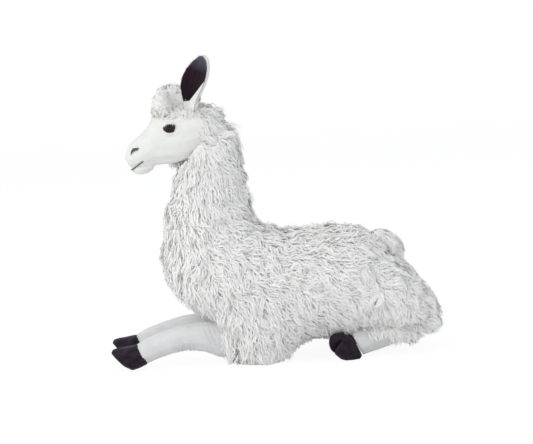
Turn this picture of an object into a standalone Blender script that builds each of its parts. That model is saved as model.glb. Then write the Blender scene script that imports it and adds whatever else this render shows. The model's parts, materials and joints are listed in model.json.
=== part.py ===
"""Plush llama lying down, as the sewn toy is made: long-pile cover, short-pile face and legs, eyes and stuffing.

Metres, +Z up. The llama faces -X, its left side faces -Y, and the ground is z = 0.
"""

import math
import random
from collections import namedtuple

import bmesh
import bpy
from mathutils import Vector
from mathutils.bvhtree import BVHTree

# Torso of the fleece cover, without the tufts that stand on it
TORSO_FRONT = -0.1263
TORSO_LENGTH = 0.335
TORSO_BOTTOM = 0.026
TORSO_HEIGHT = 0.139
TORSO_HALF_WIDTH = 0.068

# Neck of the cover, from inside the chest to the crown behind the ears
NECK_BASE = 0.150
NECK_HEIGHT = 0.178
NECK_AXIS = -0.0723
NECK_LEAN = 0.005
NECK_HALF_DEPTH = 0.049
NECK_HALF_WIDTH = 0.045

# Upper forelegs and haunches, which belong to the cover
ELBOW_AXIS = -0.0193
ELBOW_HALF_LENGTH = 0.043
ELBOW_HEIGHT = 0.100
ELBOW_SPREAD = 0.036
ELBOW_HALF_WIDTH = 0.028
HAUNCH_FRONT = 0.1027
HAUNCH_LENGTH = 0.104
HAUNCH_HEIGHT = 0.110
HAUNCH_SPREAD = 0.040
HAUNCH_HALF_WIDTH = 0.034

# Head and muzzle
HEAD_BACK = -0.0573
HEAD_LENGTH = 0.1115
HEAD_BOTTOM = 0.240
HEAD_HEIGHT = 0.082
HEAD_HALF_WIDTH = 0.031
NECK_SEAT_RISE = 0.034
CHIN_SETBACK = 0.0195
CHIN_HALF_LENGTH = 0.0145
CHIN_HALF_WIDTH = 0.013
CHIN_HALF_HEIGHT = 0.008

# Crown fluff: a tuft on the forehead, and a ridge from it between the ears to the neck
TOPKNOT_SETBACK = 0.0362
TOPKNOT_LENGTH = 0.0585
TOPKNOT_RISE = 0.024
TOPKNOT_SINK = 0.012
TOPKNOT_HALF_WIDTH = 0.024
RIDGE_HALF_WIDTH = 0.0075

# Tail
TAIL_LENGTH = 0.044
TAIL_HALF_WIDTH = 0.0155
TAIL_HALF_DEPTH = 0.0122
TAIL_ARCH = 0.005
TAIL_DROOP = math.radians(51.5)
TAIL_SINK = 0.5

# Ears
EAR_SETBACK = 0.0805
EAR_SINK = 0.006
EAR_LEAN = math.radians(16)
EAR_LENGTH = 0.0727
EAR_HALF_WIDTH = 0.0176
EAR_CUP = 0.008
EAR_ARCH = 0.004
EAR_SPREAD = 0.021
EAR_TURN = math.radians(20)
EAR_SHELL = 0.0028
EAR_LINING = 0.0012
EAR_HEM = 0.0016
EAR_ROOM = 0.0030

# Eyes
EYE_SETBACK = 0.0550
EYE_RISE = 0.0578
EYE_RADIUS = 0.0082
EYE_BULGE = 0.0055
EYE_SINK = 0.0016
POST_RADIUS = 0.0025
POST_LENGTH = 0.009
WASHER_RADIUS = 0.0065
WASHER_BORE = 0.0029
WASHER_THICKNESS = 0.0015
WASHER_GAP = 0.0022

# Stitched features stand this far off the face
STITCH_HEIGHT = 0.0009
MOUTH_WIDTH = 0.0016
NOSTRIL_LENGTH = 0.011
NOSTRIL_RISE = 0.0265
NOSTRIL_HEIGHT = 0.0085
MOUTH_LENGTH = 0.0155
MOUTH_RISE = 0.0065
MOUTH_CLIMB = 0.0100

# Legs: the right foreleg reaches further forward by its advance
FORELEG_SEAM = -0.1718
FORELEG_LENGTH = 0.1245
FORELEG_HEIGHT = 0.0550
FORELEG_SPREAD = 0.034
FORELEG_HALF_WIDTH = 0.0165
RIGHT_FORELEG_ADVANCE = 0.006
SHANK_SEAM = 0.0947
SHANK_LENGTH = 0.086
SHANK_HEIGHT = 0.0540
SHANK_SPREAD = 0.038
SHANK_HALF_WIDTH = 0.0165
SHANK_TURN = math.radians(8)

# Hooves
FORE_HOOF_LENGTH = 0.044
HIND_HOOF_LENGTH = 0.044
HOOF_HEIGHT = 0.0285
HOOF_HALF_WIDTH = 0.0170
CLEFT_WIDTH = 0.0046
CLEFT_DEPTH = 0.025
HIND_HOOF_TURN = math.radians(36)
HIND_HOOF_ROLL = math.radians(30)

# Fabric, stuffing and fits
FLEECE_WALL = 0.0085
SKIN_WALL = 0.0020
CLEARANCE = 0.0003

# Pile tufts on the cover, the topknot and the tail
FLEECE_TUFT_SPACING = 0.0217
FLEECE_TUFT_HEIGHT = 0.0078
FLEECE_TUFT_LEAN = 0.0095
TOPKNOT_TUFT_SPACING = 0.0080
TOPKNOT_TUFT_HEIGHT = 0.0045
TOPKNOT_TUFT_LEAN = 0.0030
TAIL_TUFT_SPACING = 0.0090
TAIL_TUFT_HEIGHT = 0.0045
TAIL_TUFT_LEAN = 0.0050
TUFT_ROOM = 0.0022
TUFT_SEED = 7

# Places worked out from the sizes above
TORSO_BACK = TORSO_FRONT + TORSO_LENGTH
TORSO_TOP = TORSO_BOTTOM + TORSO_HEIGHT
NECK_TOP = NECK_BASE + NECK_HEIGHT
MUZZLE_TIP = HEAD_BACK - HEAD_LENGTH
HEAD_TOP = HEAD_BOTTOM + HEAD_HEIGHT
NECK_SEAT = HEAD_BOTTOM + NECK_SEAT_RISE
EYE_X = MUZZLE_TIP + EYE_SETBACK
EYE_Z = HEAD_BOTTOM + EYE_RISE
EAR_BASE = MUZZLE_TIP + EAR_SETBACK
CHIN_AXIS = MUZZLE_TIP + CHIN_SETBACK

SIDES = {"left": -1, "right": 1}

# A section is the ellipse whose upright chord runs from top to bottom, both (x, z), at y = middle
Section = namedtuple("Section", "top bottom half_width middle")

# Torso sections: share of its length, then of its height for top and bottom, and of its half width
TORSO_PROFILE = (
    (0.000, 0.89, 0.66, 0.36),
    (0.022, 0.95, 0.53, 0.60),
    (0.070, 0.99, 0.38, 0.78),
    (0.150, 1.00, 0.22, 0.89),
    (0.270, 0.99, 0.08, 0.95),
    (0.480, 0.94, 0.00, 0.99),
    (0.690, 0.95, 0.01, 1.00),
    (0.800, 0.84, 0.02, 0.94),
    (0.865, 0.64, 0.02, 0.85),
    (0.925, 0.41, 0.02, 0.70),
    (0.975, 0.28, 0.05, 0.48),
    (1.000, 0.21, 0.10, 0.22),
)

# Neck sections: share of its height, then of its half depth before and behind the axis, and of its half width
NECK_PROFILE = (
    (0.00, 0.90, 0.96, 1.00),
    (0.11, 1.05, 1.02, 1.02),
    (0.22, 1.01, 0.96, 0.96),
    (0.37, 0.85, 0.88, 0.89),
    (0.53, 0.84, 0.85, 0.87),
    (0.66, 0.58, 0.76, 0.84),
    (0.79, 0.45, 0.62, 0.79),
    (0.89, 0.33, 0.43, 0.69),
    (0.96, 0.24, 0.22, 0.50),
    (1.00, 0.14, 0.06, 0.26),
)

# Elbow sections: share of its height, then of its half length ahead and behind, and of its half width
ELBOW_PROFILE = (
    (1.00, 0.80, 0.70, 0.70),
    (0.70, 1.05, 0.92, 0.94),
    (0.40, 1.05, 0.96, 1.00),
    (0.16, 0.98, 0.94, 0.94),
    (0.02, 0.80, 0.82, 0.76),
    (-0.04, 0.62, 0.66, 0.56),
)

# Haunch sections: share of its length, then of its top height for top and bottom, and of its half width
HAUNCH_PROFILE = (
    (0.00, 0.68, 0.52, 0.30),
    (0.07, 0.82, 0.46, 0.65),
    (0.22, 0.95, 0.42, 0.91),
    (0.45, 1.00, 0.39, 1.00),
    (0.68, 0.89, 0.29, 0.94),
    (0.88, 0.66, 0.26, 0.70),
    (1.00, 0.50, 0.34, 0.30),
)

# Head sections: share of its length from the back, then of its height for top and bottom, and of its half width
HEAD_PROFILE = (
    (0.00, 0.94, 0.37, 0.74),
    (0.12, 0.99, 0.28, 0.90),
    (0.30, 1.00, 0.18, 0.99),
    (0.47, 0.98, 0.14, 0.97),
    (0.60, 0.94, 0.14, 0.86),
    (0.69, 0.86, 0.13, 0.75),
    (0.78, 0.71, 0.11, 0.68),
    (0.87, 0.59, 0.09, 0.61),
    (0.95, 0.51, 0.10, 0.50),
    (1.00, 0.43, 0.15, 0.31),
)

# Chin sections: share of its half length from its axis, of its half height, and of its half width
CHIN_PROFILE = (
    (-1.00, 0.35, 0.35),
    (-0.75, 0.70, 0.70),
    (-0.30, 1.00, 1.00),
    (0.30, 0.84, 1.00),
    (0.75, 0.45, 0.70),
)

# Crown sections: share of its length, then of its rise, and of its half width; the ridge has its own width
TOPKNOT_PROFILE = (
    (0.00, 0.25, 0.45),
    (0.07, 0.62, 0.75),
    (0.20, 0.90, 0.97),
    (0.38, 1.05, 1.00),
    (0.52, 1.08, 0.85),
    (0.75, 0.80, 0.60),
    (1.00, 0.40, 0.50),
)

# Tail sections: share of its length from its root, and of its half width and half depth
TAIL_PROFILE = (
    (-0.20, 0.45),
    (-0.05, 0.80),
    (0.20, 1.00),
    (0.50, 1.02),
    (0.78, 0.82),
    (1.00, 0.45),
)

# Place of the tail's root: share of the torso's length and height
TAIL_ROOT = (0.788, 0.87)

# Ear sections: share of its length, and of its half width
EAR_PROFILE = (
    (0.00, 0.46),
    (0.16, 0.54),
    (0.32, 0.78),
    (0.47, 0.97),
    (0.62, 1.00),
    (0.76, 0.89),
    (0.89, 0.62),
    (0.985, 0.22),
)

# Foreleg sections from the hoof seam to inside the elbow: share of its length and height for top, then for bottom,
# and share of the half width
FORELEG_PROFILE = (
    ((0.000, 0.56), (0.108, 0.11), 0.94),
    ((0.100, 0.70), (0.205, 0.20), 0.97),
    ((0.293, 0.855), (0.357, 0.30), 1.00),
    ((0.494, 0.973), (0.510, 0.36), 1.04),
    ((0.695, 1.000), (0.679, 0.31), 1.10),
    ((0.855, 0.964), (0.831, 0.16), 1.15),
    ((1.000, 0.909), (0.976, 0.15), 1.15),
)

# Hind shank sections from the hoof seam to inside the haunch, in the same form
SHANK_PROFILE = (
    ((0.000, 0.61), (0.170, 0.03), 0.94),
    ((0.140, 0.70), (0.270, 0.07), 0.98),
    ((0.337, 0.80), (0.410, 0.12), 1.02),
    ((0.570, 0.89), (0.600, 0.20), 1.06),
    ((0.779, 0.96), (0.802, 0.30), 1.08),
    ((0.965, 1.00), (0.920, 0.37), 1.00),
)

# Hoof sections from the seam to the toe: share of its length, of its height for top and bottom, of its half width
FORE_HOOF_PROFILE = (
    (0.00, 1.00, 0.02, 0.94),
    (0.20, 1.05, 0.07, 1.00),
    (0.42, 1.01, -0.03, 1.00),
    (0.66, 0.98, 0.16, 0.88),
    (0.86, 0.94, 0.48, 0.66),
    (1.00, 0.89, 0.76, 0.40),
)

# The same of a hind hoof, whose toes point up a little
HIND_HOOF_PROFILE = (
    (0.00, 1.00, 0.02, 0.94),
    (0.22, 1.06, -0.08, 1.02),
    (0.48, 1.12, -0.06, 1.04),
    (0.75, 1.12, 0.10, 0.94),
    (0.93, 1.04, 0.32, 0.70),
    (1.00, 0.88, 0.54, 0.40),
)

# Combing of the long pile: a place as shares of the torso's length and the neck's top, and the way its hair lies
COMBING = (
    ((0.18, 0.95), (0.45, -1.00)),
    ((0.15, 0.70), (0.15, -1.00)),
    ((0.05, 0.41), (0.05, -1.00)),
    ((0.27, 0.40), (0.70, -0.75)),
    ((0.30, 0.09), (0.10, -1.00)),
    ((0.51, 0.37), (1.00, -0.35)),
    ((0.53, 0.15), (0.75, -0.65)),
    ((0.72, 0.40), (0.95, -0.40)),
    ((0.77, 0.18), (0.25, -1.00)),
    ((0.95, 0.20), (0.80, -0.60)),
)
COMB_REACH = 0.030

# Roughness and colour of each fabric or plastic
FLEECE_FINISH = ((0.80, 0.79, 0.75), 0.95)
SKIN_FINISH = ((0.82, 0.81, 0.76), 0.90)
DARK_FINISH = ((0.035, 0.026, 0.034), 0.80)
EYE_FINISH = ((0.020, 0.009, 0.008), 0.12)
THREAD_FINISH = ((0.060, 0.065, 0.085), 0.75)
WASHER_FINISH = ((0.70, 0.70, 0.68), 0.45)
STUFFING_FINISH = ((0.90, 0.90, 0.88), 1.00)

# Facets of the round forms, and the smallest half size that a form keeps inside a wall
TORSO_FACETS = 12
LIMB_FACETS = 10
JOINED_FACETS = 8
HEAD_FACETS = 14
CROWN_FACETS = 18
HOOF_FACETS = 16
EYE_FACETS = 14
EYE_RINGS = 3
EAR_STRIPS = 4
SMALLEST_HALF = 0.0025

# Reach of the cutting boxes, well beyond the llama
FAR = 0.4

# Slot that marks the faces of long pile, and the least share of a square's area that still bears a tuft
PILE_SLOT = 1
WHOLE_SQUARE = 0.45

# Power that squares a hoof's rings a little
HOOF_ROUNDNESS = 0.80


def clear_scene():
    """Remove the objects that a new file starts with."""
    for found in list(bpy.data.objects):
        bpy.data.objects.remove(found)


def finish_material(name, finish):
    """Principled material of one colour and roughness."""
    colour, roughness = finish
    material = bpy.data.materials.new(name)
    material.use_nodes = True
    shader = material.node_tree.nodes["Principled BSDF"]
    shader.inputs["Base Color"].default_value = (*colour, 1.0)
    shader.inputs["Roughness"].default_value = roughness
    shader.inputs["Metallic"].default_value = 0.0
    return material


def add_object(name, mesh):
    """Object of its own for a mesh, linked into the scene."""
    shape = bpy.data.objects.new(name, mesh)
    bpy.context.scene.collection.objects.link(shape)
    return shape


def mesh_from(name, points, faces):
    """Object from points and faces, with its faces turned outwards."""
    mesh = bpy.data.meshes.new(name)
    mesh.from_pydata(points, [], faces)
    work = bmesh.new()
    work.from_mesh(mesh)
    bmesh.ops.recalc_face_normals(work, faces=work.faces)
    work.to_mesh(mesh)
    work.free()
    return add_object(name, mesh)


def apply_modifiers(shape):
    """Turn an object's modifiers into its mesh."""
    graph = bpy.context.evaluated_depsgraph_get()
    mesh = bpy.data.meshes.new_from_object(shape.evaluated_get(graph))
    shape.modifiers.clear()
    shape.data = mesh


def combine(shape, other, operation, keep=False):
    """Boolean of one object with another, which is then removed unless it is kept."""
    boolean = shape.modifiers.new("combine", "BOOLEAN")
    boolean.operation = operation
    boolean.solver = "EXACT"
    boolean.object = other
    bpy.context.view_layer.update()
    apply_modifiers(shape)
    if not keep:
        bpy.data.objects.remove(other)


def cut(shape, *others):
    """Take the other solids out of a shape."""
    for other in others:
        combine(shape, other, "DIFFERENCE")


def unite(shape, *others):
    """Add the other solids to a shape."""
    for other in others:
        combine(shape, other, "UNION")


def box(name, low, high):
    """Box between two corners."""
    points = [(x, y, z) for x in (low[0], high[0]) for y in (low[1], high[1]) for z in (low[2], high[2])]
    faces = [(0, 1, 3, 2), (4, 6, 7, 5), (0, 4, 5, 1), (2, 3, 7, 6), (0, 2, 6, 4), (1, 5, 7, 3)]
    return mesh_from(name, points, faces)


def cylinder(name, start, end, radius, facets):
    """Round bar between two points."""
    axis = (end - start).normalized()
    side = axis.orthogonal().normalized()
    other = axis.cross(side)
    points = []
    for centre in (start, end):
        for step in range(facets):
            turn = math.tau * step / facets
            points.append(centre + radius * (math.cos(turn) * side + math.sin(turn) * other))
    faces = [tuple(range(facets)), tuple(range(facets, 2 * facets))]
    for step in range(facets):
        after = (step + 1) % facets
        faces.append((step, after, facets + after, facets + step))
    return mesh_from(name, points, faces)


def section_frame(section):
    """Centre of a section, and its half chord as a vector."""
    top = Vector((section.top[0], section.middle, section.top[1]))
    bottom = Vector((section.bottom[0], section.middle, section.bottom[1]))
    return (top + bottom) / 2, (top - bottom) / 2


def inner_sections(sections, wall):
    """Sections that have room inside a wall: wide enough, and not swallowed by the walls at the two ends."""
    least = wall + SMALLEST_HALF
    wide = [section for section in sections if min(section_frame(section)[1].length, section.half_width) > least]
    first = section_frame(wide[0])[0]
    last = section_frame(wide[-1])[0]
    kept = [wide[0]]
    for section in wide[1:-1]:
        centre = section_frame(section)[0]
        if min((centre - first).length, (centre - last).length) > least:
            kept.append(section)
    return kept + [wide[-1]]


def loft(name, sections, inset=0.0, facets=LIMB_FACETS, flat_ends=False):
    """Closed skin through elliptical sections; inset shrinks it on every side, and a negative one swells it."""
    frames = []
    for section in sections:
        centre, half = section_frame(section)
        frames.append((centre, half, section.half_width))
    centres = [centre for centre, half, width in frames]
    ends = {0: (centres[0] - centres[1]).normalized(), len(frames) - 1: (centres[-1] - centres[-2]).normalized()}
    points = []
    poles = []
    for place, (centre, half, width) in enumerate(frames):
        outward = ends.get(place)
        if outward:
            centre = centre - inset * outward
            dome = 0.0 if flat_ends else 0.5 * min(half.length, width)
            poles.append(centre + dome * outward)
        up = half.normalized() * (half.length - inset)
        across = Vector((0, width - inset, 0))
        for step in range(facets):
            turn = math.tau * step / facets
            points.append(centre + up * math.cos(turn) + across * math.sin(turn))
    faces = []
    for place in range(len(frames) - 1):
        for step in range(facets):
            after = (step + 1) % facets
            first = place * facets
            second = first + facets
            faces.append((first + step, first + after, second + after))
            faces.append((first + step, second + after, second + step))
    last = (len(frames) - 1) * facets
    if flat_ends:
        faces.append(tuple(range(facets)))
        faces.append(tuple(range(last, last + facets)))
    else:
        for pole, first in zip(poles, (0, last)):
            points.append(pole)
            for step in range(facets):
                faces.append((first + step, first + (step + 1) % facets, len(points) - 1))
    return mesh_from(name, points, faces)


def torso_sections():
    """Upright sections from the chest to the rump."""
    sections = []
    for along, top, bottom, width in TORSO_PROFILE:
        x = TORSO_FRONT + along * TORSO_LENGTH
        top_point = (x, TORSO_BOTTOM + top * TORSO_HEIGHT)
        bottom_point = (x, TORSO_BOTTOM + bottom * TORSO_HEIGHT)
        sections.append(Section(top_point, bottom_point, width * TORSO_HALF_WIDTH, 0.0))
    return sections


def neck_sections():
    """Level sections from inside the chest to the crown; a section's chord runs from front to back."""
    sections = []
    for rise, ahead, behind, width in NECK_PROFILE:
        z = NECK_BASE + rise * NECK_HEIGHT
        axis = NECK_AXIS + rise * NECK_LEAN
        front = (axis - ahead * NECK_HALF_DEPTH, z)
        back = (axis + behind * NECK_HALF_DEPTH, z)
        sections.append(Section(front, back, width * NECK_HALF_WIDTH, 0.0))
    return sections


def elbow_sections(side):
    """Level sections of an upper foreleg, from the shoulder to the ground."""
    sections = []
    for rise, ahead, behind, width in ELBOW_PROFILE:
        z = rise * ELBOW_HEIGHT
        front = (ELBOW_AXIS - ahead * ELBOW_HALF_LENGTH, z)
        back = (ELBOW_AXIS + behind * ELBOW_HALF_LENGTH, z)
        sections.append(Section(front, back, width * ELBOW_HALF_WIDTH, side * ELBOW_SPREAD))
    return sections


def haunch_sections(side):
    """Upright sections of a thigh."""
    sections = []
    for along, top, bottom, width in HAUNCH_PROFILE:
        x = HAUNCH_FRONT + along * HAUNCH_LENGTH
        upper = (x, top * HAUNCH_HEIGHT)
        lower = (x, bottom * HAUNCH_HEIGHT)
        sections.append(Section(upper, lower, width * HAUNCH_HALF_WIDTH, side * HAUNCH_SPREAD))
    return sections


def head_sections():
    """Upright sections from inside the neck to the tip of the muzzle."""
    sections = []
    for along, top, bottom, width in HEAD_PROFILE:
        x = HEAD_BACK - along * HEAD_LENGTH
        upper = (x, HEAD_BOTTOM + top * HEAD_HEIGHT)
        lower = (x, HEAD_BOTTOM + bottom * HEAD_HEIGHT)
        sections.append(Section(upper, lower, width * HEAD_HALF_WIDTH, 0.0))
    return sections


def chin_sections():
    """Level-lying sections of the lower jaw, under the muzzle."""
    sections = []
    for along, height, width in CHIN_PROFILE:
        x = CHIN_AXIS + along * CHIN_HALF_LENGTH
        middle = HEAD_BOTTOM + (1.0 + 0.15 * along) * CHIN_HALF_HEIGHT
        reach = height * CHIN_HALF_HEIGHT
        sections.append(Section((x, middle + reach), (x, middle - reach), width * CHIN_HALF_WIDTH, 0.0))
    return sections


def foreleg_sections(label):
    """Sections of a foreleg, square to its length; the right one is longer by its advance."""
    middle = SIDES[label] * FORELEG_SPREAD
    advance = RIGHT_FORELEG_ADVANCE if label == "right" else 0.0
    length = FORELEG_LENGTH + advance
    seam = FORELEG_SEAM - advance
    sections = []
    for top, bottom, width in FORELEG_PROFILE:
        upper = (seam + top[0] * length, top[1] * FORELEG_HEIGHT)
        lower = (seam + bottom[0] * length, bottom[1] * FORELEG_HEIGHT)
        sections.append(Section(upper, lower, width * FORELEG_HALF_WIDTH, middle))
    return sections


def shank_sections(label):
    """Sections of a hind shank, which turns inwards as it runs back."""
    sections = []
    for top, bottom, width in SHANK_PROFILE:
        middle = SIDES[label] * (SHANK_SPREAD - top[0] * SHANK_LENGTH * math.tan(SHANK_TURN))
        upper = (SHANK_SEAM + top[0] * SHANK_LENGTH, top[1] * SHANK_HEIGHT)
        lower = (SHANK_SEAM + bottom[0] * SHANK_LENGTH, bottom[1] * SHANK_HEIGHT)
        sections.append(Section(upper, lower, width * SHANK_HALF_WIDTH, middle))
    return sections


def form(name, sections, wall, clearance, facets):
    """Loft as far inside its sections as a wall and a clearance."""
    if wall > 0.0:
        sections = inner_sections(sections, wall)
    return loft(name, sections, wall + clearance, facets)


def fleece_forms(name, wall=0.0, clearance=0.0):
    """One solid of every stuffed form of the cover, as far inside its surface as a wall and a clearance."""
    whole = form(name, torso_sections(), wall, clearance, TORSO_FACETS)
    unite(whole, form("neck_form", neck_sections(), wall, clearance, TORSO_FACETS))
    for side in SIDES.values():
        unite(whole, form("elbow_form", elbow_sections(side), wall, clearance, JOINED_FACETS))
        unite(whole, form("haunch_form", haunch_sections(side), wall, clearance, JOINED_FACETS))
    if wall > 0.0:
        cut(whole, ground_box(wall + clearance))
    return whole


def head_form(name, wall=0.0, clearance=0.0):
    """Head with its lower jaw, as one solid; a negative clearance makes room around it."""
    whole = form(name, head_sections(), wall, clearance, HEAD_FACETS)
    unite(whole, form("chin_form", chin_sections(), wall, clearance, JOINED_FACETS))
    return whole


def comb_direction(place):
    """Way the long pile lies at a place, blended from the combing marks."""
    total = Vector((0, 0, 0))
    for (along, rise), (back, down) in COMBING:
        distance = math.hypot(place.x - TORSO_FRONT - along * TORSO_LENGTH, place.z - rise * NECK_TOP)
        total += Vector((back, 0, down)).normalized() / (distance * distance + COMB_REACH * COMB_REACH)
    return total.normalized()


def upward_direction(place):
    """Way the crown fluff stands."""
    return Vector((-0.25, 0, 1.0)).normalized()


def downward_direction(place):
    """Way the tail hangs."""
    return Vector((0.5, 0, -1.0)).normalized()


def square_up(shape, spacing):
    """Remesh a shape to even squares, and mark them as pile by their material slot."""
    remesh = shape.modifiers.new("squares", "REMESH")
    remesh.mode = "VOXEL"
    remesh.voxel_size = spacing
    bpy.context.view_layer.update()
    apply_modifiers(shape)
    for slot in ("backing", "pile"):
        shape.data.materials.append(bpy.data.materials.new(slot))
    for face in shape.data.polygons:
        face.material_index = PILE_SLOT


def tree_of(shape):
    """Search tree of an object's surface."""
    points = [vertex.co for vertex in shape.data.vertices]
    return BVHTree.FromPolygons(points, [tuple(face.vertices) for face in shape.data.polygons])


def is_near(trees, point, reach):
    """Whether a point lies inside one of the surfaces, or within reach of it."""
    for tree in trees:
        place, normal, index, distance = tree.find_nearest(point)
        if distance < reach or (distance < 2 * reach + 0.01 and (point - place).dot(normal) < 0.0):
            return True
    return False


def grow_tufts(shape, spacing, height, lean, direction, neighbours):
    """Raise a leaning tuft of pile on each whole square, unless it would reach a neighbour."""
    chance = random.Random(TUFT_SEED)
    trees = [tree_of(neighbour) for neighbour in neighbours]
    work = bmesh.new()
    work.from_mesh(shape.data)
    smallest = WHOLE_SQUARE * spacing * spacing
    squares = []
    for face in work.faces:
        if face.material_index == PILE_SLOT and len(face.verts) == 4 and face.calc_area() > smallest:
            squares.append((face, face.normal.copy()))
    for square, normal in squares:
        corners = [vertex.co.copy() for vertex in square.verts]
        tuft = bmesh.ops.poke(work, faces=[square])["verts"][0]
        size = 0.60 + 0.40 * chance.random()
        if tuft.co.z < height + lean:
            size *= 0.3
        flow = direction(tuft.co)
        flow -= flow.dot(normal) * normal
        sideways = normal.cross(flow) * 0.6 * (chance.random() - 0.5)
        tip = tuft.co + normal * height * size + (flow + sideways) * lean * size
        probes = [tip] + [(tip + corner) / 2 for corner in corners]
        if not any(is_near(trees, probe, TUFT_ROOM) for probe in probes):
            tuft.co = tip
    work.to_mesh(shape.data)
    work.free()


def ground_box(rise=0.0):
    """Everything under the ground, or under a level above it, to cut flat feet and flat floors."""
    return box("ground", (-FAR, -FAR, -FAR), (FAR, FAR, rise))


def build_head():
    """Face skin with its eye holes, and the stuffing behind it."""
    skin = head_form("head_skin")
    hollow = head_form("head_hollow", SKIN_WALL)
    cut(skin, hollow)
    stuffing = head_form("head_stuffing", SKIN_WALL, CLEARANCE)
    for piece in (skin, stuffing):
        cut(piece, box("head_end", (HEAD_BACK, -FAR, 0.0), (FAR, FAR, 2 * FAR)))
    return skin, stuffing


def face_half_width(x, z):
    """Half width of the head's surface at a place on its side."""
    sections = head_sections()
    for ahead, behind in zip(sections[1:], sections):
        if ahead.top[0] <= x <= behind.top[0]:
            share = (behind.top[0] - x) / (behind.top[0] - ahead.top[0])
            top = behind.top[1] + share * (ahead.top[1] - behind.top[1])
            bottom = behind.bottom[1] + share * (ahead.bottom[1] - behind.bottom[1])
            width = behind.half_width + share * (ahead.half_width - behind.half_width)
            height = (z - (top + bottom) / 2) / ((top - bottom) / 2)
            return width * math.sqrt(max(0.0, 1.0 - height * height))
    return 0.0


def eye_frame(side):
    """Seat of an eye on the face, and the way that it looks."""
    step = EYE_RADIUS * 0.5
    here = face_half_width(EYE_X, EYE_Z)
    slope_x = (face_half_width(EYE_X + step, EYE_Z) - face_half_width(EYE_X - step, EYE_Z)) / (2 * step)
    slope_z = (face_half_width(EYE_X, EYE_Z + step) - face_half_width(EYE_X, EYE_Z - step)) / (2 * step)
    outward = Vector((-slope_x, 1.0, -slope_z)).normalized()
    seat = Vector((EYE_X, side * here, EYE_Z))
    return seat, Vector((outward.x, side * outward.y, outward.z))


def eye_dome(name, side, swell=0.0):
    """Turned plastic dome with a flat back, set into the pile over its seat."""
    seat, outward = eye_frame(side)
    across = outward.orthogonal().normalized()
    other = outward.cross(across)
    radius = EYE_RADIUS + swell
    base = seat - outward * (EYE_SINK + swell)
    dome = EYE_BULGE + EYE_SINK + 2 * swell
    points = [base + outward * dome]
    for ring in range(1, EYE_RINGS + 1):
        turn = math.pi / 2 * ring / EYE_RINGS
        for step in range(EYE_FACETS):
            angle = math.tau * step / EYE_FACETS
            spoke = math.cos(angle) * across + math.sin(angle) * other
            points.append(base + outward * dome * math.cos(turn) + spoke * radius * math.sin(turn))
    faces = [(0, 1 + step, 1 + (step + 1) % EYE_FACETS) for step in range(EYE_FACETS)]
    for ring in range(EYE_RINGS - 1):
        for step in range(EYE_FACETS):
            first = 1 + ring * EYE_FACETS
            second = first + EYE_FACETS
            after = (step + 1) % EYE_FACETS
            faces.append((first + step, first + after, second + after, second + step))
    faces.append(tuple(1 + (EYE_RINGS - 1) * EYE_FACETS + step for step in range(EYE_FACETS)))
    return mesh_from(name, points, faces)


def eye_bar(name, side, radius, start, end):
    """Round bar on an eye's axis, from one depth behind its seat to another."""
    seat, outward = eye_frame(side)
    return cylinder(name, seat - outward * start, seat - outward * end, radius, EYE_FACETS)


def build_eyes(skin, stuffing):
    """Eyes with their posts through the skin, and the washers that lock them behind it."""
    made = {}
    post_start = EYE_SINK / 2
    post_end = post_start + POST_LENGTH
    washer_start = SKIN_WALL + WASHER_GAP
    washer_end = washer_start + WASHER_THICKNESS
    for label, side in SIDES.items():
        eye = eye_dome("eye_" + label, side)
        unite(eye, eye_bar("post", side, POST_RADIUS, post_start, post_end))
        washer = eye_bar("eye_washer_" + label, side, WASHER_RADIUS, washer_start, washer_end)
        cut(washer, eye_bar("bore", side, WASHER_BORE, post_start, post_end + CLEARANCE))
        cut(skin, eye_dome("eye_seat", side, CLEARANCE))
        cut(skin, eye_bar("post_hole", side, POST_RADIUS + CLEARANCE, 0.0, post_end + CLEARANCE))
        room = eye_bar("washer_room", side, WASHER_RADIUS + CLEARANCE, washer_start - CLEARANCE,
                       washer_end + CLEARANCE)
        seat_room = eye_dome("seat_room", side, 2 * CLEARANCE)
        post_room = eye_bar("post_room", side, POST_RADIUS + 2 * CLEARANCE, 0.0, post_end + 2 * CLEARANCE)
        cut(stuffing, room, seat_room, post_room)
        made["eye_" + label] = eye
        made["eye_washer_" + label] = washer
    return made


def prism(name, outline, near, far):
    """Straight prism through an outline of (x, z) points, between two values of y."""
    count = len(outline)
    points = [(x, y, z) for y in (near, far) for x, z in outline]
    faces = [tuple(range(count)), tuple(range(count, 2 * count))]
    for step in range(count):
        after = (step + 1) % count
        faces.append((step, after, count + after, count + step))
    return mesh_from(name, points, faces)


def stitched_patch(name, outline, near, far):
    """Patch of thread that lies on the face and follows its curve."""
    patch = prism(name, outline, near, far)
    combine(patch, head_form("patch_top", 0.0, -(CLEARANCE + STITCH_HEIGHT)), "INTERSECT")
    cut(patch, head_form("patch_base", 0.0, -CLEARANCE))
    return patch


def build_stitches():
    """Nostrils on both sides of the muzzle, and the mouth line round it."""
    nostril = []
    for along, rise in ((0.00, 0.00), (0.09, 0.53), (0.32, 0.94), (1.00, 1.00), (0.91, 0.71), (0.36, 0.47)):
        x = MUZZLE_TIP + CLEFT_WIDTH + along * NOSTRIL_LENGTH
        nostril.append((x, HEAD_BOTTOM + NOSTRIL_RISE + rise * NOSTRIL_HEIGHT))
    corner = MUZZLE_TIP + MOUTH_LENGTH + CLEFT_WIDTH
    low = HEAD_BOTTOM + MOUTH_RISE
    lower_line = [(MUZZLE_TIP - MOUTH_LENGTH, low), (corner - MOUTH_LENGTH, low), (corner, low + MOUTH_CLIMB)]
    mouth = lower_line + [(x, z + MOUTH_WIDTH) for x, z in reversed(lower_line)]
    made = {}
    for label, side in SIDES.items():
        near, far = sorted((side * MOUTH_WIDTH, side * 2 * HEAD_HALF_WIDTH))
        made["nostril_" + label] = stitched_patch("nostril_" + label, nostril, near, far)
    made["mouth_stitch"] = stitched_patch("mouth_stitch", mouth, -2 * HEAD_HALF_WIDTH, 2 * HEAD_HALF_WIDTH)
    return made


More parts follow.
